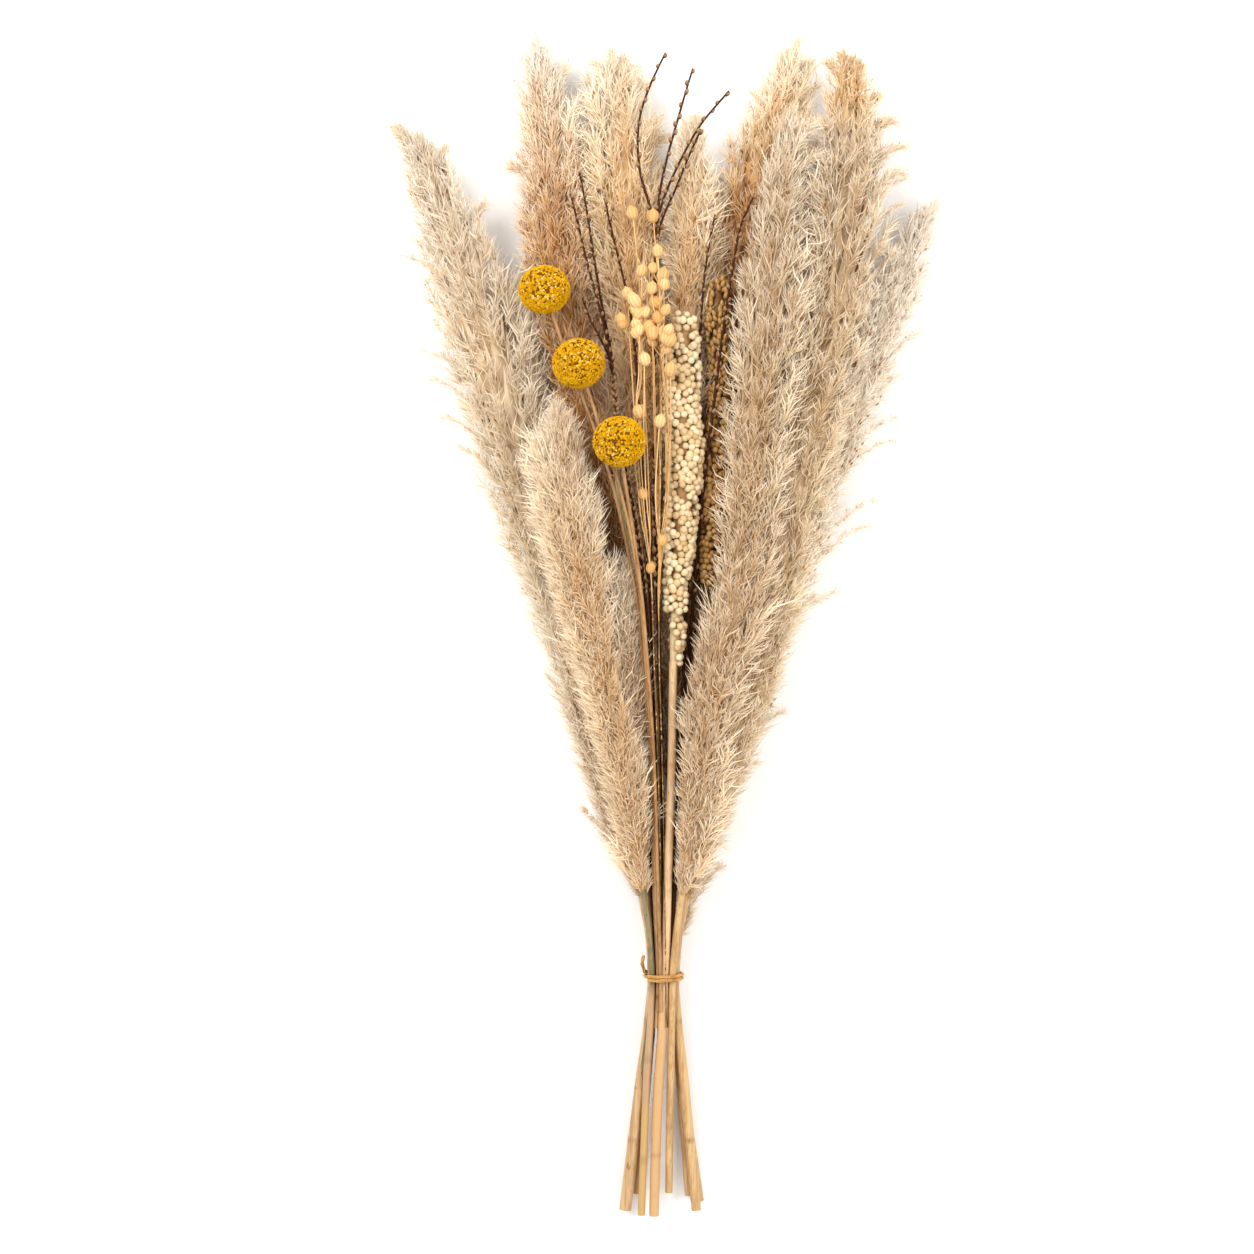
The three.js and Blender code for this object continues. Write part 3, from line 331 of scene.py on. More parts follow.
def grown(name, carrier, tree, **inputs):
    """The plain mesh that a tree makes on a carrier mesh, as a new object."""
    piece = placed(name, carrier)
    modifier = piece.modifiers.new("grow", "NODES")
    modifier.node_group = tree
    for item in tree.interface.items_tree:
        if item.in_out == "INPUT" and item.name in inputs:
            modifier[item.identifier] = inputs[item.name]
    depsgraph = bpy.context.evaluated_depsgraph_get()
    mesh = bpy.data.meshes.new_from_object(
        piece.evaluated_get(depsgraph), preserve_all_data_layers=True, depsgraph=depsgraph)
    piece.modifiers.clear()
    piece.data = mesh
    bpy.data.meshes.remove(carrier)
    mesh.name = name
    over = points_of(mesh)
    if over[:, 2].min() < TABLE_GAP:
        over[:, 2] = np.maximum(over[:, 2], TABLE_GAP)
        mesh.vertices.foreach_set("co", over.ravel())
        mesh.update()
    return piece


def stand_for(piece, node):
    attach(piece, "root")
    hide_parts(node)


def shapes_from(name, *meshes):
    """A collection, outside the scene, of the small shapes that a tree repeats."""
    group = bpy.data.collections.new(name)
    for k, mesh in enumerate(meshes):
        group.objects.link(bpy.data.objects.new(f"{name}_{k}", mesh))
    return group


def stalks_on(name, lines, thick, sides, material, tones=None):
    """Stalks along lines, each with one thickness and tone or with one for each point."""
    points, edges, widths, shades = [], [], [], []
    for k, line in enumerate(lines):
        start = len(points)
        points.extend(line[:, :3])
        edges.extend((start + i, start + i + 1) for i in range(len(line) - 1))
        widths.extend(np.broadcast_to(thick[k], len(line)))
        shades.extend(np.broadcast_to(tones[k] if tones else 0.5, len(line)))
    carrier = mesh_of(name, points, edges=edges, thick=widths, tone=shades)
    return grown(name, carrier, STALKS, Sides=sides, Material=material)


def set_along(piece, share):
    """Sets the mark that hair and husk read as the share of a colour, where the tree wrote lengths."""
    values = np.broadcast_to(share, len(piece.data.vertices)).astype(np.float32)
    piece.data.attributes["along"].data.foreach_set("value", values)


def dressed(name, node, slot, material, shapes, core, number, places, **marks):
    """Small shapes set on points round a core, in place of a node. The core leaves the scene."""
    if core.users_collection:
        bpy.context.scene.collection.objects.unlink(core)
    marks.setdefault("pick", np.zeros(len(places), int))
    piece = grown(name, mesh_of(node, places, **marks), REPEATS, Shapes=shapes, Core=core, Seed=number,
                  Material=material)
    stand_for(piece, node)
    return piece


def join(piece, other):
    """Adds the mesh of another object to a piece."""
    both = [piece, other]
    with bpy.context.temp_override(active_object=piece, object=piece, selected_editable_objects=both,
                                   selected_objects=both):
        bpy.ops.object.join()


# ---- materials

BLEND = dict(data_type="RGBA")
SHADE = dict(data_type="RGBA", blend_type="MULTIPLY")
TIMES, PLUS = dict(operation="MULTIPLY"), dict(operation="ADD")
CREAM = "#fef2df"  # the ends of hairs
THIN = "#fcecd2"  # hairs with the light behind them
SEED = "#9a5f2c"


def new_material(name, *marks):
    """A material, the function that adds nodes to it, its shader, the place on the piece, and the
    values of the marks that its points bear."""
    material = bpy.data.materials.new(name)
    material.use_nodes = True
    put = partial(add, material.node_tree)
    place = put("ShaderNodeTexCoord").outputs["Object"]
    values = [put("ShaderNodeAttribute", attribute_name=mark).outputs["Fac"] for mark in marks]
    return material, put, material.node_tree.nodes["Principled BSDF"], place, *values


def plume_hair(name, low, high, heights, painted_shade):
    """Dried pampas hair: fine silky hairs, bleached by the sun. They are cream at their ends and catch
    a soft, dull sheen. Painted shade darkens them deep between the hairs where they leave the stalk
    and in the plume's dense middle, and painted light brightens its thin fringe. heights are the
    colours from the plume's foot to its point."""
    material, put, shader, place, along, tone, seed, rim = new_material(
        f"dried pampas hair, {name}", "along", "tone", "seed", "rim")
    height = put("ShaderNodeSeparateXYZ", {0: place}).outputs[1]
    share = put("ShaderNodeMapRange", {"Value": height, "From Min": low, "From Max": high})
    fade = put("ShaderNodeMapRange", {"Value": height, "From Min": high - BRIGHTER_TIP, "From Max": high,
                                      "To Min": 1.0, "To Max": 0.3})
    # streaks of shade about 10 mm wide and 50 mm long, as the clumps lie over each other
    streak_place = put("ShaderNodeMapping", {"Vector": place, "Scale": (100, 20, 100)})
    streaks = put("ShaderNodeTexNoise", {"Vector": streak_place, "Scale": 1.0, "Detail": 3.0})
    colour = put("ShaderNodeValToRGB", {0: share}, stops=heights)
    # each layer goes over those before it: what shows it, how much, what weakens it, and its colour
    for mark, shown, weaker, hue, how in (
            (along, [(0.0, 0.65), (0.42, 0.0)], fade, painted_shade, SHADE),  # painted shade deep between the hairs, at their roots
            (rim, [(0.0, 0.5), (0.55, 0.0)], fade, painted_shade, SHADE),  # painted shade in the dense middle of the plume
            (rim, [(0.5, 0.0), (1.0, 0.4)], None, THIN, BLEND),  # painted light through its thin fringe
            (along, [(0.4, 0.0), (1.0, 0.7)], None, CREAM, BLEND),  # the ends of the hairs
            (streaks, [(0.42, 0.0), (0.66, 0.6)], tone, painted_shade, SHADE)):
        part = put("ShaderNodeValToRGB", {0: mark}, stops=shown)
        if weaker:
            part = put("ShaderNodeMath", {0: part, 1: weaker}, **TIMES)
        colour = put("ShaderNodeMix", {0: part, 6: colour, 7: hue}, **how)
    brown = put("ShaderNodeMix", {0: seed, 6: colour, 7: SEED}, **BLEND)
    feed(shader, {"Base Color": brown, "Roughness": 0.6, "IOR": 1.5, "Specular IOR Level": 0.2,
                  "Sheen Weight": 0.15, "Sheen Roughness": 0.4, "Sheen Tint": "#f2d9b0"})
    return material


def dried_stalk(name, light, dark, spot, gloss=0.45, ridges=0.9, below=()):
    """Dried reed or straw: a hard waxy skin with fine lengthwise fibres. It has pale and dark
    streaks, brown spots where it weathered and darker rings at its joints. below are the
    colours that the stalk turns to further down: from, to in millimetres, and colour."""
    material, put, shader, place, tone = new_material(f"dried stalk, {name}", "tone")
    height = put("ShaderNodeSeparateXYZ", {0: place}).outputs[1]
    # fibres about 0.4 mm wide and 50 mm long, bands of a few fibres, and short specks
    fibres, bands, specks = (
        put("ShaderNodeTexNoise", {"Vector": put("ShaderNodeMapping", {"Vector": place, "Scale": scale}),
                                   "Scale": 1.0, "Detail": detail})
        for scale, detail in (((1800, 22, 1800), 2.0), ((260, 14, 260), 4.0), ((420, 120, 420), 2.0)))
    both = put("ShaderNodeMath", {0: fibres, 1: bands}, **PLUS)
    half = put("ShaderNodeMath", {0: both, 1: 0.5}, **TIMES)
    streaked = put("ShaderNodeValToRGB", {0: half}, stops=[(0.40, dark), (0.58, light)])
    speck = put("ShaderNodeValToRGB", {0: specks}, stops=[(0.66, 0.0), (0.74, 0.8)])
    colour = put("ShaderNodeMix", {0: speck, 6: streaked, 7: spot}, **BLEND)
    for top, bottom, hue in below:
        lower = put("ShaderNodeMapRange", {"Value": height, "From Min": top * MM, "From Max": bottom * MM,
                                           "To Max": 0.85})
        colour = put("ShaderNodeMix", {0: lower, 6: colour, 7: hue}, **BLEND)
    ring = put("ShaderNodeMapRange", {"Value": tone, "From Min": 0.5, "From Max": 1.0})
    ringed = put("ShaderNodeMix", {0: ring, 6: colour, 7: spot}, **BLEND)
    bump = put("ShaderNodeBump", {"Strength": ridges, "Distance": 0.12 * MM, "Height": fibres})
    feed(shader, {"Base Color": ringed, "Normal": bump, "Roughness": gloss, "IOR": 1.5})
    return material


def mottled(name, low, high, speck, scale, roughness, rare=(), shine=0.3):
    """A dry, matt plant skin whose colour varies from piece to piece and in patches. Where the points'
    along mark is high it turns to speck: painted shade in the hollows of husks, florets and pods, and
    the pale tips of buds. rare are colours of single pieces among the others: from, colour and to, by
    the pieces' tone."""
    material, put, shader, place, tone, along = new_material(name, "tone", "along")
    patches = put("ShaderNodeTexNoise", {"Vector": place, "Scale": scale, "Detail": 4.0})
    mixed = put("ShaderNodeMath", {0: patches, 1: tone}, **PLUS)
    half = put("ShaderNodeMath", {0: mixed, 1: 0.5}, **TIMES)
    patched = put("ShaderNodeValToRGB", {0: half}, stops=[(0.25, low), (0.7, high)])
    # the along mark mixes in speck: painted shade in hollows, or the pale tips of buds
    colour = put("ShaderNodeMix", {0: along, 6: patched, 7: speck}, **BLEND)
    for start, hue, end in rare:
        above = put("ShaderNodeMath", {0: tone, 1: start}, operation="GREATER_THAN")
        under = put("ShaderNodeMath", {0: tone, 1: end}, operation="LESS_THAN")
        both = put("ShaderNodeMath", {0: above, 1: under}, **TIMES)
        part = put("ShaderNodeMath", {0: both, 1: 0.85}, **TIMES)
        colour = put("ShaderNodeMix", {0: part, 6: colour, 7: hue}, **BLEND)
    bump = put("ShaderNodeBump", {"Strength": 0.4, "Distance": 0.1 * MM, "Height": patches})
    feed(shader, {"Base Color": colour, "Normal": bump, "Roughness": roughness, "IOR": 1.48,
                  "Specular IOR Level": shine})
    return material


# ---- hair tufts

def tapered(path, width, sides, turn=0.0):
    """A closed blade or hair round a path: a ring at each point but the last, which is its tip."""
    points = []
    for k, point in enumerate(path[:-1]):
        way = unit(path[min(k + 1, len(path) - 1)] - path[max(k - 1, 0)])
        side = unit(np.cross(way, (0.31, 0.87, 0.11)))  # any direction that no hair runs in
        other = np.cross(way, side)
        points.extend(point + width[k] * (side * math.cos(angle) + other * math.sin(angle))
                      for angle in ring_angles(sides, turn))
    return points + [path[-1]], skin(len(path) - 1, sides, pointed=True)


# where a hair leaves its spray and how it points at first and at its end, in degrees
FEATHER = dict(start=(0.0, 0.55), length=(0.34, 0.5), out=(26, 46), end=(2, 20))
FOUNTAIN = dict(start=(0.0, 0.4), length=(0.4, 0.62), out=(6, 18), end=(24, 44))
BRUSH = dict(start=(0.0, 0.45), length=(0.4, 0.6), out=(10, 30), end=(-4, 26))
# each kind of spray, and how many brown seeds it bears
SPRAYS = ((FEATHER, 0), (FOUNTAIN, 0), (BRUSH, 0), (FEATHER, 1), (FOUNTAIN, 2), (BRUSH, 3))
PLAIN_KINDS = 3


def spray_mesh(k, habit, seeds, width):
    """One spray of hairs, a unit long along +Z. They leave its stalk to both sides and bend, and
    some kinds carry brown seeds."""
    draw = np.random.default_rng(100 + k)
    points, faces, along, seed = [], [], [], []

    def take(form, values, is_seed):
        start = len(points)
        points.extend(form[0])
        faces.extend(tuple(start + i for i in face) for face in form[1])
        along.extend(values)
        seed.extend([is_seed] * len(form[0]))

    def outwards():
        azimuth = draw.uniform(0, 2 * math.pi)
        return azimuth, np.array([math.cos(azimuth), math.sin(azimuth), 0])

    bend = draw.uniform(0.1, 0.2)

    def spine(t):
        return np.array([bend * t * t, 0, t])

    for i in range(HAIRS_IN_TUFT):
        # the first hair goes on straight to the spray's point
        start = draw.uniform(*habit["start"]) if i else 0.0
        length = draw.uniform(*habit["length"]) if i else 0.9
        azimuth, radial = outwards()
        out, end = (math.radians(draw.uniform(*habit[part])) if i else 0.0 for part in ("out", "end"))
        place = spine(start) + radial * 0.012
        path = [place]
        for lean in (out, end):
            way = radial * math.sin(lean) + spine(start + length) - spine(start)
            place = place + unit(way) * length / 2
            path.append(place)
        thick = width * draw.uniform(0.7, 1.15)
        take(tapered(np.array(path), [thick, thick * 0.8], 3, azimuth),
             [start * 0.5] * 3 + [0.4 + start * 0.5] * 3 + [1.0], 0.0)
    for _ in range(seeds):
        start = draw.uniform(0.15, 0.5)
        _, radial = outwards()
        root = spine(start) + radial * 0.05
        path = np.array([root, root + radial * 0.015 + [0, 0, 0.04], root + radial * 0.025 + [0, 0, 0.1]])
        take(tapered(path, [0.009, 0.019], 4), [0.0] * 9, 1.0)
    return mesh_of(f"spray_{k}", points, faces, along=along, seed=seed)


sprays = shapes_from("spray", *(spray_mesh(k, habit, seeds, HAIR_WIDTH / 2 / (sum(TUFT_LENGTH) / 2))
                                for k, (habit, seeds) in enumerate(SPRAYS)))


# ---- plumes

# colours from foot to point, the colour of the painted shade between the hairs, how often a spray
# bears seeds, the share of the sprays of a large plume, and side sprigs: x and y of the tip in
# millimetres, and the length of those that are short and full
PLUMES = {
    "outer_left": dict(
        heights=[(0.0, "#dcc6a8"), (0.3, "#e8dbc4"), (0.7, "#e2d4bd"), (1.0, "#dfd4c4")],
        painted_shade="#e6d0ac", seeds=0.22,
        sprigs=[(-148, 212), (-136, 158), (-132, 142), (-126, 121), (-117, 104), (-47, -102),
                (-126, 278, 30), (-105, 247, 30), (-157, 292, 24), (-152, 291, 20), (-148, 287, 20),
                (-141, 284, 24)]),
    "inner_left": dict(
        heights=[(0.0, "#ead2ae"), (0.6, "#e6cfaa"), (1.0, "#e4d2b6")], painted_shade="#e2c494", seeds=0.1,
        sprigs=[(-61, 131, 24), (-56, 125, 24)]),
    "small_left": dict(
        heights=[(0.0, "#dac09c"), (1.0, "#deccb0")], painted_shade="#d8bc94", seeds=0.1, share=0.42,
        sprigs=[(-24, 44, 20)]),
    "upper_left": dict(
        heights=[(0.0, "#b88a4c"), (0.45, "#cc9e60"), (0.75, "#dcb47e"), (0.9, "#f0e4cc"), (1.0, "#f4efe6")],
        painted_shade="#dcb47c", seeds=0.25,
        sprigs=[(-57, 326, 30), (-87, 271, 24), (-74, 342, 30), (-69, 333, 22), (-79, 330, 24)]),
    "centre_back": dict(
        heights=[(0.0, "#c89858"), (0.5, "#e8c48c"), (0.8, "#f0dab0"), (1.0, "#f2e8d6")],
        painted_shade="#e8c68e", seeds=0.22,
        sprigs=[(-46, 308, 24), (-7, 296, 26), (-3, 286, 26), (-31, 333, 26), (-39, 328, 24), (-35, 324, 18),
                (-25, 329, 20), (-18, 324, 24), (-13, 316, 22), (-43, 318, 20), (1, 226, 34), (1, 208, 34)]),
    "small_centre": dict(
        heights=[(0.0, "#d2aa72"), (0.6, "#ead2a8"), (1.0, "#f2e6d0")], painted_shade="#ecce9c", seeds=0.2,
        share=0.42, sprigs=[(15, 292, 24), (11, 284, 20), (3, 236, 30), (1, 216, 30)]),
    "right_back": dict(
        heights=[(0.0, "#b8823c"), (0.5, "#ca9a54"), (0.78, "#deb67c"), (0.9, "#f0dab0"), (1.0, "#f4ead4")],
        painted_shade="#dcb070", seeds=0.35,
        sprigs=[(73, 338, 26), (67, 331, 22), (80, 327, 22), (83, 282, 34), (84, 264, 34), (83, 246, 34),
                (81, 226, 34)]),
    "front_right": dict(
        heights=[(0.0, "#ead4b2"), (0.3, "#dac19c"), (0.7, "#d8c3a2"), (1.0, "#ddceb6")],
        painted_shade="#d6ba94", seeds=0.15,
        sprigs=[(66, 293, 24), (60, 285, 22), (80, 287, 28), (81, 270, 30), (80, 252, 30), (79, 234, 30)]),
    "tall_right": dict(
        heights=[(0.0, "#e2cba8"), (0.6, "#dac6a4"), (0.92, "#d6c3a6"), (0.97, "#dcb982"), (1.0, "#e0bf8c")],
        painted_shade="#d8c0a2", seeds=0.22,
        sprigs=[(83, 293, 32), (77, 276, 32), (74, 258, 34), (75, 240, 34), (73, 222, 34), (98, 328, 24),
                (92, 324, 20), (103, 325, 20), (108, 322, 22), (116, 306, 24), (124, 293, 26),
                (130, 278, 30), (130, 264, 30), (132, 253), (130, 238)]),
    "outer_right": dict(
        heights=[(0.0, "#e0d0b8"), (0.5, "#f4eadb"), (1.0, "#ede5da")], painted_shade="#f0e2cc", seeds=0.5,
        sprigs=[(152, 249, 30), (147, 240, 26), (147, 203), (142, 169), (130, 121), (127, 108), (117, 74),
                (114, 60), (97, 22), (83, 19), (66, -46), (51, -75), (31, -134)]),
}
SPRIG_LENGTH = 44 * MM
RIM_REACH = 10 * MM  # from a plume's core to the middle of its fringe
SEAM_WIDTH = 24 * MM  # between the cores of two plumes whose hairs still meet
FOOT_BAND, TIP_BAND = 46 * MM, 34 * MM  # how far the extra sprays reach from a plume's two ends
CORE_AT_FOOT, CORE_ABOVE, CORE_TUFT = 1.03, 0.8, 0.6  # the share of the solid left as core

BUTTONS = ("high", "middle", "low")
button_balls = []
for button in BUTTONS:
    lowest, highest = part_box(f"button_{button}")
    button_balls.append((np.array((lowest + highest) / 2), (highest.x - lowest.x) / 2))
BUTTON_CLEARANCE = 1.5 * MM

SPIKE_EDGE = 27.5 * MM  # x up to which the side spike shows, left of the front right plume
SPIKE_LOW, SPIKE_HIGH = 30 * MM, 118 * MM  # the heights between which it does
# lines that a plume's hairs hardly cross, and on which side they lie: y and x in millimetres
EDGES = {
    "front_right": (-1, np.array([(195, 37.5), (208, 40), (242, 49), (265, 56), (281, 66), (300, 70)]) * MM),
    "inner_left": (1, np.array([(-57, -10), (-38, -24), (-19, -28.5), (16, -34.5), (29, -35.6), (47, -35.6),
                                (74, -33), (102, -44), (130, -52)]) * MM),
}
GAP_LOW, GAP_HIGH = np.array([-9.5, -142]) * MM, np.array([6.5, -8]) * MM  # x and y where only stems show
UNDER_STEMS = 15 * MM  # height below which hairs lie in the shade under the stems
# the stems and spikes show between these two groups
LEFT = ("outer_left", "inner_left", "small_left")
RIGHT = ("front_right", "tall_right", "outer_right")
BACK_PLUMES = ("outer_left", "upper_left", "centre_back", "small_centre", "right_back")
# the points of twigs, straws and button stalks that plumes may lie behind
BESIDE_LINE, ABOVE_LINE = 2.4 * MM, 1.5 * MM  # how close to these points no hair passes in front
thin_lines = np.concatenate([path[path[:, 1] > 20 * MM, :3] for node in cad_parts
                             if node.startswith(("twig_", "flax_", "stem_button_"))
                             for path in paths_of(node)])


def axis_of(core):
    """The middle line of a plume's core, from its rings, as rows of x, y, z and radius."""
    levels = np.round(core[:, 1] / (0.05 * MM))
    rings = [core[levels == level] for level in np.unique(levels)]
    return np.array([[*ring.mean(0), np.linalg.norm(ring - ring.mean(0), axis=1).mean()]
                     for ring in rings if len(ring) >= 5])


SOLIDS, AXES = {}, {}
for name in PLUMES:
    corners, triangles = welded(f"plume_{name}")
    is_tip = np.bincount(triangles.ravel(), minlength=len(corners)) == 4  # a coarse tuft has four faces
    SOLIDS[name], AXES[name] = (corners, triangles, is_tip), axis_of(corners[~is_tip])


def past_edge(name, tip):
    """Whether a plume's hair would cross a line that its hairs hardly cross."""
    if name not in EDGES:
        return False
    side, line = EDGES[name]
    return line[0, 0] < tip[1] < line[-1, 0] and (tip[0] - np.interp(tip[1], *line.T)) * side > 0


def among(tip, of_ten):
    """Takes this many of ten tips, the same ones in each run."""
    return tip[1] * 1e5 % 10 < of_ten


def in_the_way(name, root, tip):
    """Whether a spray would run into a button flower, or lie over a thin stalk in front of it."""
    for middle, radius in button_balls:
        for t in (0.3, 0.6, 0.85, 1.0):
            if np.linalg.norm(root + (tip - root) * t - middle) < radius + BUTTON_CLEARANCE:
                return True
    if name == "front_right" and SPIKE_LOW < tip[1] < SPIKE_HIGH and tip[0] < SPIKE_EDGE:
        return among(tip, 7.5)
    if past_edge(name, tip):
        return among(tip, 9.0)
    if np.all(tip[:2] > GAP_LOW) and np.all(tip[:2] < GAP_HIGH) and tip[2] > UNDER_STEMS:
        return among(tip, 9.6)
    if name in BACK_PLUMES:
        for t in (0.5, 0.75, 1.0):
            apart = thin_lines - (root + (tip - root) * t)
            near = np.hypot(apart[:, 0], apart[:, 1]) < BESIDE_LINE
            if np.any(near & (apart[:, 2] < ABOVE_LINE)):
                return True
    return False


def neighbours(name):
    """The middle lines of the plumes that a plume may meet. The left and right groups don't."""
    across = RIGHT if name in LEFT else LEFT if name in RIGHT else ()
    return [axis for other, axis in AXES.items() if other != name and other not in across]


def faces_a_neighbour(name, place, out):
    """Whether the hairs here lie against another plume, where the two run into each other."""
    ahead = place + out * 11 * MM
    return any(np.any(np.linalg.norm(axis[:, :3] - ahead, axis=1) < axis[:, 3] + 5 * MM)
               for axis in neighbours(name))


# the picture's pieces reach no further than this past the CAD box
slack = np.array([6, 14, 1.6]) * MM
LOW_LIMIT, HIGH_LIMIT = np.array(cad_box[0]) - slack, np.array(cad_box[1]) + slack


def plume(name, number):
    """Fine sprays grow out of every coarse tuft of the solid, towards its point, and out of the
    plume's foot, its tip and its side sprigs."""
    node, plan, axis = f"plume_{name}", PLUMES[name], AXES[name]
    points, triangles, is_tip = SOLIDS[name]
    draw = np.random.default_rng(7 + number)
    share = plan.get("share", 1.0)
    foot, point = axis[0, 1], axis[-1, 1]
    middle = partial(on, axis)
    rows = []

    def grow(place, way, size, tone, seeds=plan["seeds"]):
        """One spray, unless it would be in the way. It is cut short at the limits and edges."""
        end = place + way * size
        over = np.maximum(end - HIGH_LIMIT, LOW_LIMIT - end).max()
        if over > 0:
            size = size - over * 1.3
        if past_edge(name, place + way * size):
            size *= 0.65
        if size < SHORTEST_SPRAY or in_the_way(name, place, place + way * size):
            return
        spot = place + way * size * 0.6
        middle_x, core = on(axis, spot[1], (0, 3))
        rim = min(1.0, abs(spot[0] - middle_x) / (core + RIM_REACH))
        kinds = (PLAIN_KINDS, len(SPRAYS)) if draw.random() < seeds else (0, PLAIN_KINDS)
        rows.append((place, way, size, tone, int(draw.integers(*kinds)), rim))

    def upwards(y):
        return unit(middle(min(y + 10 * MM, point)) - middle(min(y, point - 10 * MM)))

    tips = np.flatnonzero(is_tip)
    weights, bases = [], []
    for tip in tips:
        # the foot of the coarse tuft under this tip, the way it faces and half its width
        feet = sorted(set(triangles[(triangles == tip).any(axis=1)].ravel()) - {tip})
        base = points[feet].mean(0)
        out = unit((base - middle(base[1])) * (1, 0, 1))
        bases.append((base, out, np.ptp(points[feet] @ np.cross(out, UP)) / 2))
        weights.append((1.0 + 0.5 * out[2]) * (0.4 + np.linalg.norm(points[tip] - base) / (30 * MM)))
    elsewhere = share * (FOOT_SPRAYS + TIP_SPRAYS + COLLAR_SPRAYS + SEAM_SPRAYS)
    on_sprigs = len(plan["sprigs"]) * SPRIG_SPRAYS
    weights = np.array(weights) / np.sum(weights) * (SPRAYS_ON_PLUME * share - elsewhere - on_sprigs)
    for (base, out, half), tip, count in zip(bases, points[tips], weights):
        count = int(count) + (draw.random() < count % 1)
        across = np.cross(out, UP)
        tone = draw.uniform(0, 1)
        spread, outward = (7.0, 5.0) if faces_a_neighbour(name, base, out) else (4.2, 1.6)
        for n in range(count):
            s = (n + draw.random()) / count * 0.85
            aside = draw.uniform(-1, 1) * (1 - 0.6 * s)
            place = base + (tip - base) * s + across * aside * half * 0.9 - out * 1.2 * MM * (1 - s)
            aim = (tip + across * (aside * 5 * MM + draw.normal(0, spread * MM))
                   + out * draw.normal(outward, 2.5) * MM + upwards(tip[1]) * 5 * MM)
            length = np.linalg.norm(aim - place)
            size = float(np.clip(length * draw.uniform(0.7, 1.0), *TUFT_LENGTH))
            grow(place, unit(aim - place), size, np.clip(tone * 0.6 + draw.uniform(0, 0.4), 0, 1))
    for y in np.concatenate([draw.uniform(foot + 1 * MM, foot + FOOT_BAND, int(FOOT_SPRAYS * share)),
                             draw.uniform(point - TIP_BAND, point, int(TIP_SPRAYS * share))]):
        out = level(draw.uniform(0, 2 * math.pi))
        way = unit(upwards(y) + out * draw.uniform(0.15, 0.45))
        grow(middle(y) + out * on(axis, y, [3]) * 0.7, way, draw.uniform(9, 17) * MM, draw.uniform(0, 0.7))
    # a collar of plain sprays hides where the plume begins on its stem
    for angle in draw.uniform(0, 2 * math.pi, int(COLLAR_SPRAYS * share)):
        out = level(angle)
        down = draw.uniform(-9, 5) * MM
        grow(middle(foot) - upwards(foot) * down + out * 1.7 * MM,
             unit(upwards(foot) + out * draw.uniform(0.02, 0.3)), draw.uniform(10, 18) * MM,
             draw.uniform(0, 0.5), seeds=0)
    # where another plume lies close, hairs of both run into each other over the seam
    for y in draw.uniform(foot, point, int(SEAM_SPRAYS * share)):
        here, radius = middle(y), on(axis, y, [3])[0]
        seams = []
        for its in neighbours(name):
            if its[0, 1] < y < its[-1, 1]:
                there = on(its, y)
                apart = np.linalg.norm(there - here)
                seams.append((apart - radius - on(its, y, [3])[0], *(there - here) / apart))
        if seams and min(seams)[0] < SEAM_WIDTH:
            out = unit(np.array(min(seams)[1:]) + [0, 0, draw.uniform(0.3, 1.2)])
            grow(here + out * (radius + draw.uniform(1, 6) * MM),
                 unit(upwards(y) + out * draw.uniform(0.3, 0.7)), draw.uniform(23, 33) * MM,
                 draw.uniform(0, 0.5))
    sprigs = []
    for x, y, *full in plan["sprigs"]:
        # the stalk of a full sprig ends lower, and longer hairs reach to its tip
        end = np.array([x, y - (8 if full else 0), middle(y * MM)[2] / MM]) * MM
        start_y = max(end[1] - (full[0] * MM if full else SPRIG_LENGTH), foot + 1 * MM)
        start = middle(start_y)
        lift = upwards(start_y) * np.linalg.norm(end - start) * 0.5
        line = np.array([start + (2 * lift) * t * (1 - t) * 0.6 + (end - start) * t
                         for t in np.linspace(0, 1, 16)])
        sprigs.append(line[:-2])
        for k in range(5, 15):
            for side in (-1, 1):
                way = unit(line[k + 1] - line[k - 1])
                aside = np.array([-way[1], way[0], draw.normal(0, 0.6)]) * side
                here = line[k] + (line[k + 1] - line[k]) * draw.random()
                grow(here, unit(way + aside * draw.uniform(0.1, 0.5)),
                     ((17 if full else 13) - k / 3) * draw.uniform(0.75, 1.15) * MM, 0.1,
                     seeds=0.3 if full else 0.6)
    # the solid as a slim core under the sprays, with its tufts drawn in. Its marks darken it with the
    # painted shade deep between the hairs and in the plume's dense middle
    core_points = points.copy()
    for k, corner in enumerate(points):
        centre = middle(corner[1])
        centre[1] = corner[1]
        near_foot = np.interp(corner[1], (foot, foot + 35 * MM), (CORE_AT_FOOT, CORE_ABOVE))
        core_points[k] = centre + (corner - centre) * (CORE_TUFT if is_tip[k] else near_foot)
    every = np.ones(len(points))
    core = bpy.data.objects.new(f"core_{name}", mesh_of(
        f"core_{name}", core_points, triangles, along=np.where(is_tip, 0.35, 0.0), tone=every * 0.6,
        seed=every * 0, rim=every * 0.25))
    material = plume_hair(name.replace("_", " "), foot, point + 8 * MM, plan["heights"], plan["painted_shade"])
    places, leans, sizes, tones, picks, rims = zip(*rows)
    piece = dressed(f"hair_{name}", node, node, material, sprays, core, number, places, lean=leans,
                    size=sizes, tone=tones, pick=picks, rim=rims)
    thick = [np.linspace(0.42, 0.15, len(line)) * MM for line in sprigs]
    stalks = stalks_on("sprig_stalks", sprigs, thick, 5, material, [0.2] * len(sprigs))
    set_along(stalks, 0.12)
    join(piece, stalks)


for number, name in enumerate(PLUMES):
    plume(name, number)


# ---- reed stems and stalks

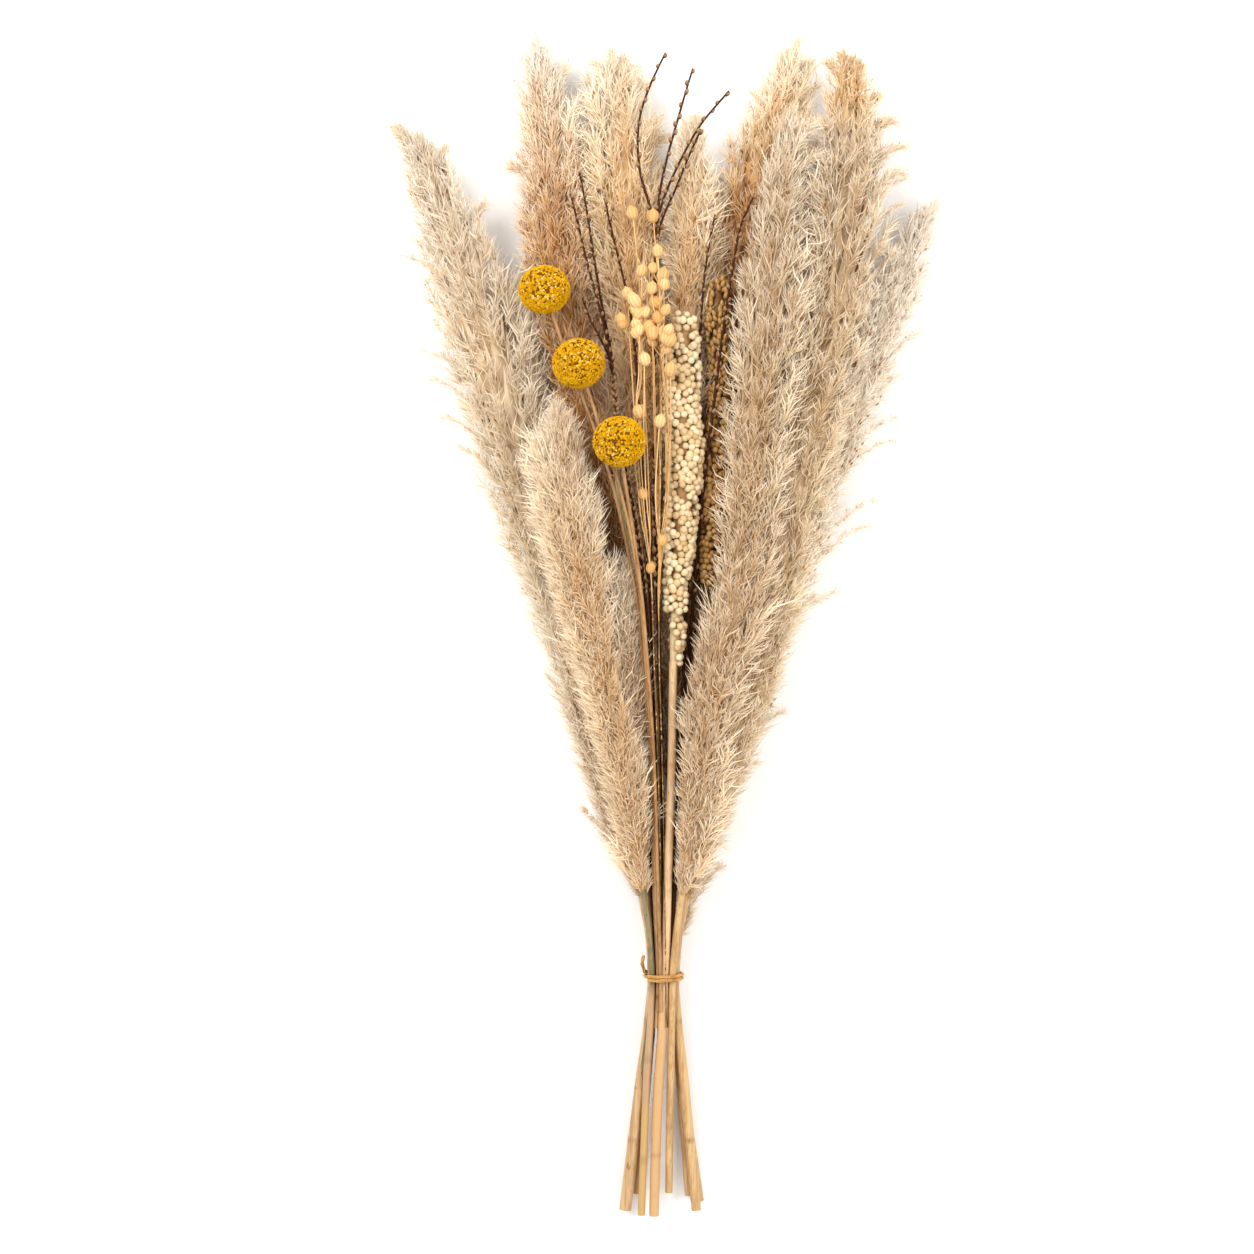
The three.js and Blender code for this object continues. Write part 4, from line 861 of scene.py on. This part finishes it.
reeds = {
    "tan": dried_stalk("tan reed", "#c4a074", "#a07a4c", "#7a5028"),
    "olive": dried_stalk("olive reed", "#887752", "#605236", "#463c24",
                         below=[(-198, -208, "#b8926c"), (-266, -274, "#bb9557")]),
    "golden": dried_stalk("golden reed", "#c8a372", "#a8804c", "#7a5028"),
    "pale": dried_stalk("pale reed", "#e8c698", "#cfa478", "#a0643c", below=[(-200, -225, "#bf935f")]),
    "brown": dried_stalk("brown stalk", "#b08656", "#8a6034", "#5b3a1e"),
    # painted shade: stems that lie deep in the gap between the plumes are made darker for the shade there
    "dark": dried_stalk("brown stalk in painted shade", "#8e6640", "#6a4626", "#442a12"),
}

# the dark stems lie deep in the gap, in painted shade
STEMS = {"outer_left": "tan", "inner_left": "olive", "small_left": "dark", "upper_left": "tan",
         "centre_back": "dark", "small_centre": "dark", "right_back": "golden", "front_right": "golden",
         "tall_right": "golden", "outer_right": "tan", "berry_spike": "pale", "side_spike": "dark",
         "button_high": "brown", "button_middle": "brown", "button_low": "brown"}
STEM_SLOTS = {"spike": "berry_stem", "button": "button_stalk"}  # by a word in the name

PIT_DEPTH = 1.6 * MM  # of a hollow cut end
CORNER_REACH = 1.07  # a solid's corners stand this much further out than its middle width
BELOW_TIE = (-0.32, -0.25, TIE_HEIGHT), (1.12, 1.16, 1.0)  # heights, and how much thicker stems are there
JOINT_SPACING = 62 * MM
JOINT_HALF = 1.2 * MM


def hollow_end(mesh):
    """Sinks a pit into the cut end of a stalk."""
    form = bmesh.new()
    form.from_mesh(mesh)
    caps = [face for face in form.faces if len(face.verts) > 6]
    cap = min(caps, key=lambda face: face.calc_center_median().y)
    radius = (cap.verts[0].co - cap.calc_center_median()).length
    for rim in (0.42, 0.06):
        bmesh.ops.inset_region(form, faces=[cap], thickness=radius * rim)
    for vert in cap.verts:
        vert.co.y += PIT_DEPTH
    form.to_mesh(mesh)
    form.free()


def stalk(name, node, colour, number, joints=True, sides=STALK_SIDES):
    whole = paths_of(node)[0]
    path = finer(whole, 2.5 * MM)
    heights = path[:, 1]
    radius = on(whole, heights, [3])[0] * CORNER_REACH * np.interp(heights, *BELOW_TIE)
    draw = np.random.default_rng(300 + number)
    tone = np.full(len(path), 0.5)
    if joints:
        joint = heights[0] + draw.uniform(20, 50) * MM
        while joint < heights[-1]:
            near = np.clip(1 - np.abs(heights - joint) / (2 * JOINT_HALF), 0, 1)
            radius = radius * (1 + 0.07 * near)
            tone = np.maximum(tone, 0.5 + 0.22 * near)
            joint += JOINT_SPACING * draw.uniform(0.85, 1.3)
    piece = stalks_on(name, [path], [radius], sides, reeds[colour], [tone])
    hollow_end(piece.data)
    stand_for(piece, node)


for number, (name, colour) in enumerate(STEMS.items()):
    slot = next((slot for word, slot in STEM_SLOTS.items() if word in name), "reed_stem")
    bears_button = slot == "button_stalk"
    stalk(f"stalk_{name}", f"stem_{name}", colour, number, joints=not bears_button,
          sides=THIN_STALK_SIDES if bears_button else STALK_SIDES)
stalk("stalk_dry", "dry_stalk", "brown", 30, sides=THIN_STALK_SIDES)


def sheath(piece, node, low, high):
    """A leaf sheath that clasps the right half of a stem and ends below in a tongue."""
    whole = paths_of(node)[0]
    across, made, tones = 8, [], []
    heights = np.linspace(low, high, 60)
    for y in heights:
        x, z, radius = on(whole, y, (0, 2, 3))
        opening = math.radians(72) * math.sqrt(min(1.0, (y - low) / (9 * MM) + 0.01))
        for side, far in ((1, radius * CORNER_REACH * 1.06 + 0.25 * MM), (-1, radius * 0.9)):
            for i in range(across + 1):
                angle = math.radians(38) + side * opening * (1 - 2 * i / across)
                made.append((x + far * math.cos(angle), y, z + far * math.sin(angle)))
                tones.append(0.5 if 0 < i < across and y > low + 3 * MM else 0.8)
    mesh = mesh_of("sheath", made, skin(len(heights), 2 * (across + 1), turned=True), tone=tones)
    mesh.materials.append(dried_stalk("olive leaf sheath", "#8a7c52", "#62583a", "#4a4026"))
    for polygon in mesh.polygons:
        polygon.use_smooth = len(polygon.vertices) == 4
    join(piece, placed("sheath", mesh))


sheath(bpy.data.objects["stalk_outer_left"], "stem_outer_left", -256.8 * MM, TIE_HEIGHT - 3.5 * MM)


# ---- bead berries

def bead_mesh(name, stretch, point):
    """A small round husk, slightly faceted, with a short point at its end."""
    form = bmesh.new()
    bmesh.ops.create_icosphere(form, subdivisions=2, radius=1.0)
    top = max(form.verts, key=lambda vert: vert.co.z)
    for vert in form.verts:
        vert.co.z *= stretch
    top.co.z += point
    mesh = mesh_from(form, name)
    for polygon in mesh.polygons:
        polygon.use_smooth = True
    # painted shade: each husk darkens towards its side turned in towards the cluster
    write_attributes(mesh, along=np.clip(-points_of(mesh)[:, 2] - 0.2, 0, 1) * 0.8)
    return mesh


LONG_BUD = 2  # its place among the shapes
LEAST_SPIKE = 0.8 * MM  # the slimmest core, and the least reach of a cluster from it
SPIKE_STEM = 2.35 * MM  # radius of the core where the spike is bare
IN_STEM = 1.5 * MM  # how deep the core starts inside the stem below
beads = shapes_from("bead", bead_mesh("round_bead", 0.95, 0.12), bead_mesh("husk", 0.9, 0.02),
                    bead_mesh("long_bud", 1.9, 0.3))


def spike(node, number, slot, material, bead, row, long_above=math.inf, bare=(-1, -1)):
    """Clusters of beads round a stalk, out to the edge of the solid, and of long buds above a share
    of its height. The stalk is bare between the two heights of bare, and below them it bears
    clusters on its right side only."""
    points, triangles = welded(node)
    low, high = points[:, 1].min(), points[:, 1].max()
    draw = np.random.default_rng(500 + number)
    rows, core_path, core_radius = [], [], []

    def bunch(centre, out, is_long):
        """One cluster: a bead at its point and a ring round it."""
        side = unit(np.cross(out, UP))
        tone = draw.uniform(0, 0.5)
        ring = draw.uniform(0, 2 * math.pi)
        for i in range(6):
            angle = ring + 2 * math.pi * i / 5
            around = (side * math.cos(angle) + UP * math.sin(angle)) * (i < 5)
            way = unit(out * 0.5 + around * 1.35 + draw.normal(0, 0.16, 3)) if i < 5 else out
            rows.append((centre + way * bead * (1.75 if i < 5 else 1.0) * draw.uniform(0.9, 1.1),
                         unit(way + UP * (1.4 if is_long else 0.3)),
                         bead * draw.uniform(0.84, 1.08) * (0.7 if is_long else 1),
                         tone + draw.uniform(0, 0.5) + (0.9 if is_long else 0),
                         LONG_BUD if is_long else int(draw.integers(0, LONG_BUD))))

    y = low + bead
    while y < high - 0.6 * bead:
        near = [max(outlines_at(points, triangles, y + step), key=lambda loop: loop[2])
                for step in (-row / 2, 0, row / 2) if low < y + step < high]
        x, z = near[0][:2]
        across, upright = np.max([loop[2:] for loop in near], axis=0)
        core_path.append((x, y, z))
        slim = max(min(across, upright) - 1.7 * bead, LEAST_SPIKE)
        core_radius.append(slim if y > bare[1] else SPIKE_STEM)
        is_long = y > low + (high - low) * long_above
        wide, tall = max(across - 1.3 * bead, LEAST_SPIKE), max(upright - 1.8 * bead, LEAST_SPIKE)
        count = max(3, round(math.pi * (across + upright) / (6.0 * bead)))
        start = draw.uniform(0, 2 * math.pi)
        for i in range(count):
            angle = start + 2 * math.pi * (i + draw.uniform(-0.2, 0.2)) / count
            out = level(angle)
            far = draw.uniform(0.85, 1.12)
            if bare[0] < y < bare[1] or (y < bare[1] and out[0] < 0.1):
                continue
            bunch(np.array([x + out[0] * wide * far, y + draw.uniform(-0.4, 0.4) * row,
                            z + out[2] * tall * far]), out, is_long)
        y += row
    core_path.insert(0, (core_path[0][0], low - IN_STEM, core_path[0][2]))
    core_radius.insert(0, core_radius[0])
    core = stalks_on(f"core_{node}", [np.array(core_path)], [core_radius], 10, material)
    # painted shade: the core takes most of the dark colour where the clusters crowd round it, and little
    # where it is bare
    set_along(core, np.where(points_of(core.data)[:, 1] > bare[1], 0.8, 0.1))
    places, leans, sizes, tones, picks = zip(*rows)
    dressed(f"beads_{node}", node, slot, material, beads, core, number, places, lean=leans, size=sizes,
            tone=tones, pick=picks)


# the third colour of each is the painted shade on the husks' inner sides and on the core among the clusters
cream_bead = mottled("dried berry husk, cream", "#bc9862", "#e6d2ac", "#946830", 300, 0.5)
tan_bead = mottled("dried berry husk, tan", "#8a6028", "#bb9056", "#644018", 300, 0.55)
spike("berry_spike", 1, "berry", cream_bead, BEAD, BEAD_ROW, bare=(4 * MM, 12 * MM))
spike("side_spike", 2, "side_berry", tan_bead, 1.9 * MM, 5.6 * MM, long_above=0.62)


# ---- button flowers

def floret_mesh():
    """A tiny open floret: a ring of petals round a pit."""
    points = [(radius * math.cos(angle), radius * math.sin(angle), height)
              for radius, height in ((0.95, -1.0), (1.0, 0.25), (0.52, 0.6)) for angle in ring_angles(6)]
    # painted shade at the floret's foot, among its neighbours, and in its pit
    floret_shade = [0.9] * 6 + [0.15] * 6 + [0.0] * 6 + [1.0]
    return mesh_of("floret", points + [(0, 0, 0.05)], skin(3, 6, pointed=True), along=floret_shade)


florets = shapes_from("floret", floret_mesh())
# its third colour, #7c4a00, is the painted shade between the florets and in their pits
mustard = mottled("dried button florets, mustard", "#bc8202", "#e8b20c", "#7c4a00", 220, 0.8, shine=0.15,
                  rare=[(0.0, "#5c3a0c", 0.1), (0.9, "#dcc274", 1.0)])


def button(name, number):
    """An uneven ball of florets in spirals, some of them open."""
    lowest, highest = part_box(f"button_{name}")
    middle = np.array((lowest + highest) / 2)
    half = np.array((highest - lowest) / 2) + 0.4 * MM
    draw = np.random.default_rng(700 + number)
    k = np.arange(FLORETS) + 0.5
    z = 1 - 2 * k / FLORETS
    turn = math.pi * (1 + 5 ** 0.5) * k
    ways = np.column_stack([np.sqrt(1 - z * z) * np.cos(turn), np.sqrt(1 - z * z) * np.sin(turn), z])
    ways = unit(ways + draw.normal(0, 0.012, ways.shape))
    # a slightly uneven head: four broad swellings or hollows
    swell = np.zeros(FLORETS)
    for _ in range(4):
        swell += draw.uniform(-0.03, 0.02) * np.clip(ways @ unit(draw.normal(0, 1, 3)), 0, 1) ** 2
    places = middle + ways * half * (1 + swell)[:, None]
    # the open florets, dark in their pits or pale with pollen, stand together in patches
    patch = sum(np.clip(ways @ unit([0.0, 0.35, 0.9] + draw.normal(0, 0.55, 3)), 0, 1) ** 8
                for _ in range(5))
    tone = draw.uniform(0.1, 0.9, FLORETS)
    opened = draw.random(FLORETS) < 0.03 + 0.26 * np.clip(patch, 0, 1)
    tone[opened] = draw.choice([0.05, 0.95], opened.sum(), p=[0.65, 0.35])
    sizes = FLORET * draw.uniform(0.8, 1.12, FLORETS)
    form = bmesh.new()
    bmesh.ops.create_icosphere(form, subdivisions=3, radius=1.0)
    core = mesh_from(form, "button_core")
    core_points = points_of(core) * (half - 0.2 * MM) + middle
    core.vertices.foreach_set("co", core_points.ravel())
    # painted shade: the ball under the florets is wholly the dark colour of the shade between them
    write_attributes(core, along=np.ones(len(core_points)))
    dressed(f"florets_{name}", f"button_{name}", "button_flower", mustard, florets,
            bpy.data.objects.new("button_core", core), number, places, lean=ways, size=sizes, tone=tone)


for number, name in enumerate(BUTTONS):
    button(name, number)


# ---- dark twigs

def bud_mesh():
    """A small scale-covered bud, pressed to its twig."""
    path = np.array([(0, 0, height) for height in (-0.4, 0.1, 0.6, 1.1)])
    points, faces = tapered(path, [0.35, 0.55, 0.4], 5)
    return mesh_of("bud", points, faces, along=[0.0] * 5 + [0.6] * 5 + [0.9] * 5 + [1.0])


buds = shapes_from("bud", bud_mesh())
bark = mottled("dark twig bark", "#2a1408", "#4a2812", "#a5805c", 500, 0.6, shine=0.12)

TWIG_RADIUS = 0.92 * MM
BUD_SPACING = 5.8 * MM


def twig(node, number):
    """A bare forked twig, and buds on it by turns to the left and the right."""
    lines = [finer(path, 2 * MM) for path in paths_of(node)]
    shares = [(line[-1, 1] - line[:, 1]) / (line[-1, 1] - line[0, 1]) for line in lines]
    thick = [TWIG_RADIUS * np.clip(0.62 + share * 1.5, 0, 1.1) for share in shares]
    core = stalks_on(f"bare_{node}", lines, thick, 7, bark)
    set_along(core, 0.0)
    draw = np.random.default_rng(800 + number)
    places, leans, tones = [], [], []
    for line in lines:
        y = line[-1, 1] - 2 * MM
        side = 1
        while y > 20 * MM:
            place = on(line, y)
            way = unit(on(line, y + 2 * MM) - place)
            out = unit(np.array([side, 0, draw.uniform(-0.6, 0.9)]))
            places.append(place + out * TWIG_RADIUS * 0.7)
            leans.append(unit(way + out * 0.35))
            tones.append(draw.uniform(0, 1))
            side = -side
            y -= BUD_SPACING * draw.uniform(0.7, 1.3)
    dressed(f"bark_{node}", node, "twig", bark, buds, core, number, places, lean=leans,
            size=draw.uniform(1.9, 2.6, len(places)) * MM, tone=tones)


for number, name in enumerate(("centre", "left", "slim_left", "slim_right", "right")):
    twig(f"twig_{name}", number)


# ---- flax

POD_LENGTH = 9 * MM
POD_RADIUS = 3.45 * MM
STRAWS_BESIDE = 0.4  # thin straws without a pod for each one that bears a pod
PODS_BESIDE = 10  # further pods on short stalks, close to where the upper straws meet
POD_BAND = (158 * MM, 222 * MM)  # the heights between which these sit
STRAW, STRAW_BESIDE, POD_STALK = 0.34 * MM, 0.22 * MM, 0.28 * MM  # radii


def pod_mesh():
    """A ribbed round seed pod with a short point, its middle at the origin."""
    profile = [(-0.5, 0.12), (-0.47, 0.35), (-0.36, 0.72), (-0.16, 0.97), (0.06, 1.0), (0.24, 0.84),
               (0.36, 0.5), (0.42, 0.2), (0.5, 0.06)]
    points = []
    for height, radius in profile:
        for i, angle in enumerate(ring_angles(16)):
            rib = 1.0 if i % 2 else 0.93
            points.append((radius * rib * math.cos(angle), radius * rib * math.sin(angle),
                           height * POD_LENGTH / POD_RADIUS))
    # painted shade: the grooves between the ribs are darker
    return mesh_of("pod", points, skin(len(profile), 16), along=[0.5, 0.0] * 8 * len(profile))


pods = shapes_from("pod", pod_mesh())
# the third colour is the painted shade in the pods' grooves; the straws take a little of it as their colour
pod_skin = mottled("dried flax pod, golden", "#d2a05c", "#f0cc92", "#a8743a", 260, 0.55)


def flax(node, number):
    """Thin straws with a ribbed pod on each, and further straws and pods beside them."""
    straws, places, leans = [], [], []
    for path in paths_of(node):
        top = path[-1, 1]
        x, z = on(path, top - POD_LENGTH / 2, (0, 2))
        below_x, below_z = on(path, top - POD_LENGTH * 1.5, (0, 2))
        places.append(np.array([x, top - POD_LENGTH / 2, z]))
        leans.append(unit(np.array([x - below_x, POD_LENGTH, z - below_z])))
        straws.append(finer(path[path[:, 1] < top - POD_LENGTH * 0.9], 2.5 * MM))
    draw = np.random.default_rng(900 + number)
    thick = [STRAW] * len(straws)
    tones = list(draw.uniform(0.1, 1.0, len(straws)))
    bearing = straws[:]
    for straw in bearing:
        if draw.random() < STRAWS_BESIDE:
            beside = straw[straw[:, 1] > draw.uniform(0, 25) * MM].copy()
            length = int(len(beside) * draw.uniform(0.7, 1.0))
            if length < 6:
                continue
            swing = np.sin(np.linspace(0, draw.uniform(1.6, 3.1), length))[:, None]
            straws.append(beside[:length] + swing * draw.uniform(-1, 1, 3) * np.array([3.2, 0, 1.6]) * MM)
            thick.append(STRAW_BESIDE)
            tones.append(draw.uniform(0, 0.5))
    reaching = [straw for straw in bearing if straw[-1, 1] > POD_BAND[0] + 12 * MM]
    for k in range(PODS_BESIDE if reaching else 0):
        straw = reaching[k % len(reaching)]
        y = draw.uniform(POD_BAND[0], min(POD_BAND[1], straw[-1, 1] - 4 * MM))
        root = on(straw, y - 9 * MM)
        aside = np.array([draw.choice([-1, 1]) * draw.uniform(2.5, 5.5), 9, draw.uniform(1, 5)]) * MM
        places.append(root + aside)
        leans.append(unit(aside))
        straws.append(np.array([root, root + aside * [0.7, 0.5, 0.7], root + aside * 0.85]))
        thick.append(POD_STALK)
        tones.append(0.6)
    core = stalks_on(f"straw_{node}", straws, thick, 6, pod_skin, tones)
    set_along(core, 0.2)
    leans = [unit(lean + [draw.uniform(-0.35, 0.35), 0, draw.uniform(-0.2, 0.2)]) for lean in leans]
    dressed(f"pods_{node}", node, "flax", pod_skin, pods, core, number, places, lean=leans,
            size=POD_RADIUS * draw.uniform(0.8, 1.08, len(places)), tone=draw.uniform(0, 1, len(places)))


flax("flax_left", 1)
flax("flax_right", 2)


# ---- leaf blade

leaf_skin = dried_stalk("dried olive leaf", "#a49a62", "#6b6236", "#4f4726", gloss=0.5, ridges=0.8)
BLADE_LENGTH, BLADE_HALF, BLADE_THICK, BLADE_KEEL = 75 * MM, 2.4 * MM, 0.34 * MM, 0.9 * MM
LEAF_STALK_HALF, LEAF_STALK_THICK = 0.8 * MM, 0.75 * MM


def leaf():
    """A narrow keeled blade on its own stalk."""
    path = finer(paths_of("leaf_blade")[0], 3 * MM)
    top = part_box("leaf_blade")[1].y
    made = []
    for x, y, z in path:
        share = np.clip((y - (top - BLADE_LENGTH)) / BLADE_LENGTH, 0, 1)
        half = LEAF_STALK_HALF + BLADE_HALF * math.sin(math.pi * share ** 0.9) - 0.5 * MM * share
        thick = LEAF_STALK_THICK if share == 0 else BLADE_THICK
        for angle in ring_angles(12):
            lift = BLADE_KEEL * abs(math.cos(angle)) * (share > 0)
            made.append((x + half * math.cos(angle), y, z + thick * math.sin(angle) + lift))
    mesh = mesh_of("leaf", made, skin(len(path), 12, turned=True), tone=np.full(len(made), 0.5))
    mesh.materials.append(leaf_skin)
    for polygon in mesh.polygons:
        polygon.use_smooth = True
    stand_for(placed("leaf", mesh), "leaf_blade")


leaf()


# ---- tie

raffia = dried_stalk("raffia, twisted", "#d09c52", "#9c6a2e", "#6c461c", gloss=0.6, ridges=1.0)

TIE_PITCH = 2.1 * MM
TIE_TURNS = 1.9
TIE_STRAND = 1.05 * MM
TIE_CLEARANCE = 0.7 * MM
TIE_STEPS = 90  # points on one turn
TIE_LOW, TIE_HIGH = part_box("tie")
TIE_MIDDLE = TIE_LOW.y + TIE_TURNS / 2 * TIE_PITCH + TIE_STRAND  # y halfway along its turns


def tie():
    """Raffia wound round the stems: each turn is several fine strips twisted together."""
    stems = []
    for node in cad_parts:
        if node.startswith(("stem_", "twig_", "flax_")) or node in ("dry_stalk", "leaf_blade"):
            path = max(paths_of(node), key=len)
            if path[:, 1].min() < TIE_MIDDLE < path[:, 1].max():
                stems.append(path)

    def outline(angle, y):
        """A point of the strand where it lies round the outermost stem that way."""
        along_x, along_z = math.cos(angle), math.sin(angle)
        x, z, radius = max((on(path, y, (0, 2, 3)) for path in stems),
                           key=lambda s: s[0] * along_x + s[1] * along_z + s[2])
        out = radius + TIE_CLEARANCE + TIE_STRAND
        return np.array([x + out * along_x, y, z + out * along_z])

    turns = [k / TIE_STEPS for k in range(int(TIE_STEPS * TIE_TURNS) + 1)]
    path = [outline(math.pi * 0.75 - 2 * math.pi * turn, TIE_MIDDLE + (turn - TIE_TURNS / 2) * TIE_PITCH)
            for turn in turns]
    # the short twisted end stands up and away
    for leg in ((-0.6, 2.2, 1.8), (-0.9, 2.8, 2.4), (0.2, 2.6, 2.2), (0.8, 2.2, 1.2)):
        start = path[-1]
        path.extend(start + np.array(leg) * MM * t for t in (0.25, 0.5, 0.75, 1.0))
    path = smooth(np.array(path), 6)
    way = unit(np.gradient(path, axis=0))
    side = unit(np.cross(way, (0, 1, 0.02)))
    other = np.cross(way, side)
    strips = []
    for first in ring_angles(4):
        angle = (first + np.arange(len(path)) * 0.16)[:, None]
        strips.append(path + TIE_STRAND * 0.52 * (side * np.cos(angle) + other * np.sin(angle)))
    piece = stalks_on("raffia_tie", strips, [TIE_STRAND * 0.5] * 4, 8, raffia, [0.5, 0.55, 0.45, 0.6])
    stand_for(piece, "tie")


tie()


# ---- table, light and camera

def floor():
    mesh = mesh_of("table", [(-3, -3, 0), (3, -3, 0), (3, 3, 0), (-3, 3, 0)], [(0, 1, 2, 3)])
    # rolled paint: barely visible grain, no shine
    material, put, shader, place = new_material("matt painted board, white")
    grain = put("ShaderNodeTexNoise", {"Vector": place, "Scale": 40.0, "Detail": 3.0})
    tint = put("ShaderNodeValToRGB", {0: grain}, stops=[(0.3, "#f4f4f3"), (0.7, "#f8f8f7")])
    feed(shader, {"Base Color": tint, "Roughness": 0.9})
    mesh.materials.append(material)
    placed("table", mesh)


def area_light(name, place, size, power):
    data = bpy.data.lights.new(name, "AREA")
    data.shape, data.size, data.energy = "DISK", size, power
    lamp = placed(name, data)
    lamp.location = place
    lamp.rotation_euler = (Vector((0, 0.05, 0)) - Vector(place)).to_track_quat("-Z", "Y").to_euler()


def camera():
    """Looks straight down, so that a pixel of the picture is as large as in the photograph."""
    data = bpy.data.cameras.new("camera")
    data.lens = 85
    tie_x = (TIE_LOW.x + TIE_HIGH.x) / 2
    mid_height = 40 * MM
    distance = PICTURE * PIXEL * data.lens / data.sensor_width
    piece = placed("camera", data)
    piece.location = (tie_x + (PICTURE / 2 - TIE_IN_PICTURE[0]) * PIXEL,
                      TIE_MIDDLE + (TIE_IN_PICTURE[1] - PICTURE / 2) * PIXEL, mid_height + distance)
    bpy.context.scene.camera = piece


floor()
area_light("key", (-1.1, 1.0, 1.9), 1.4, 42)
area_light("fill", (1.4, 0.2, 1.8), 1.8, 31)
camera()
world = bpy.data.worlds.new("studio")
world.use_nodes = True
feed(world.node_tree.nodes["Background"], {0: "#fffefc", 1: 0.86})
bpy.context.scene.world = world
bpy.context.scene.view_settings.view_transform = "Standard"
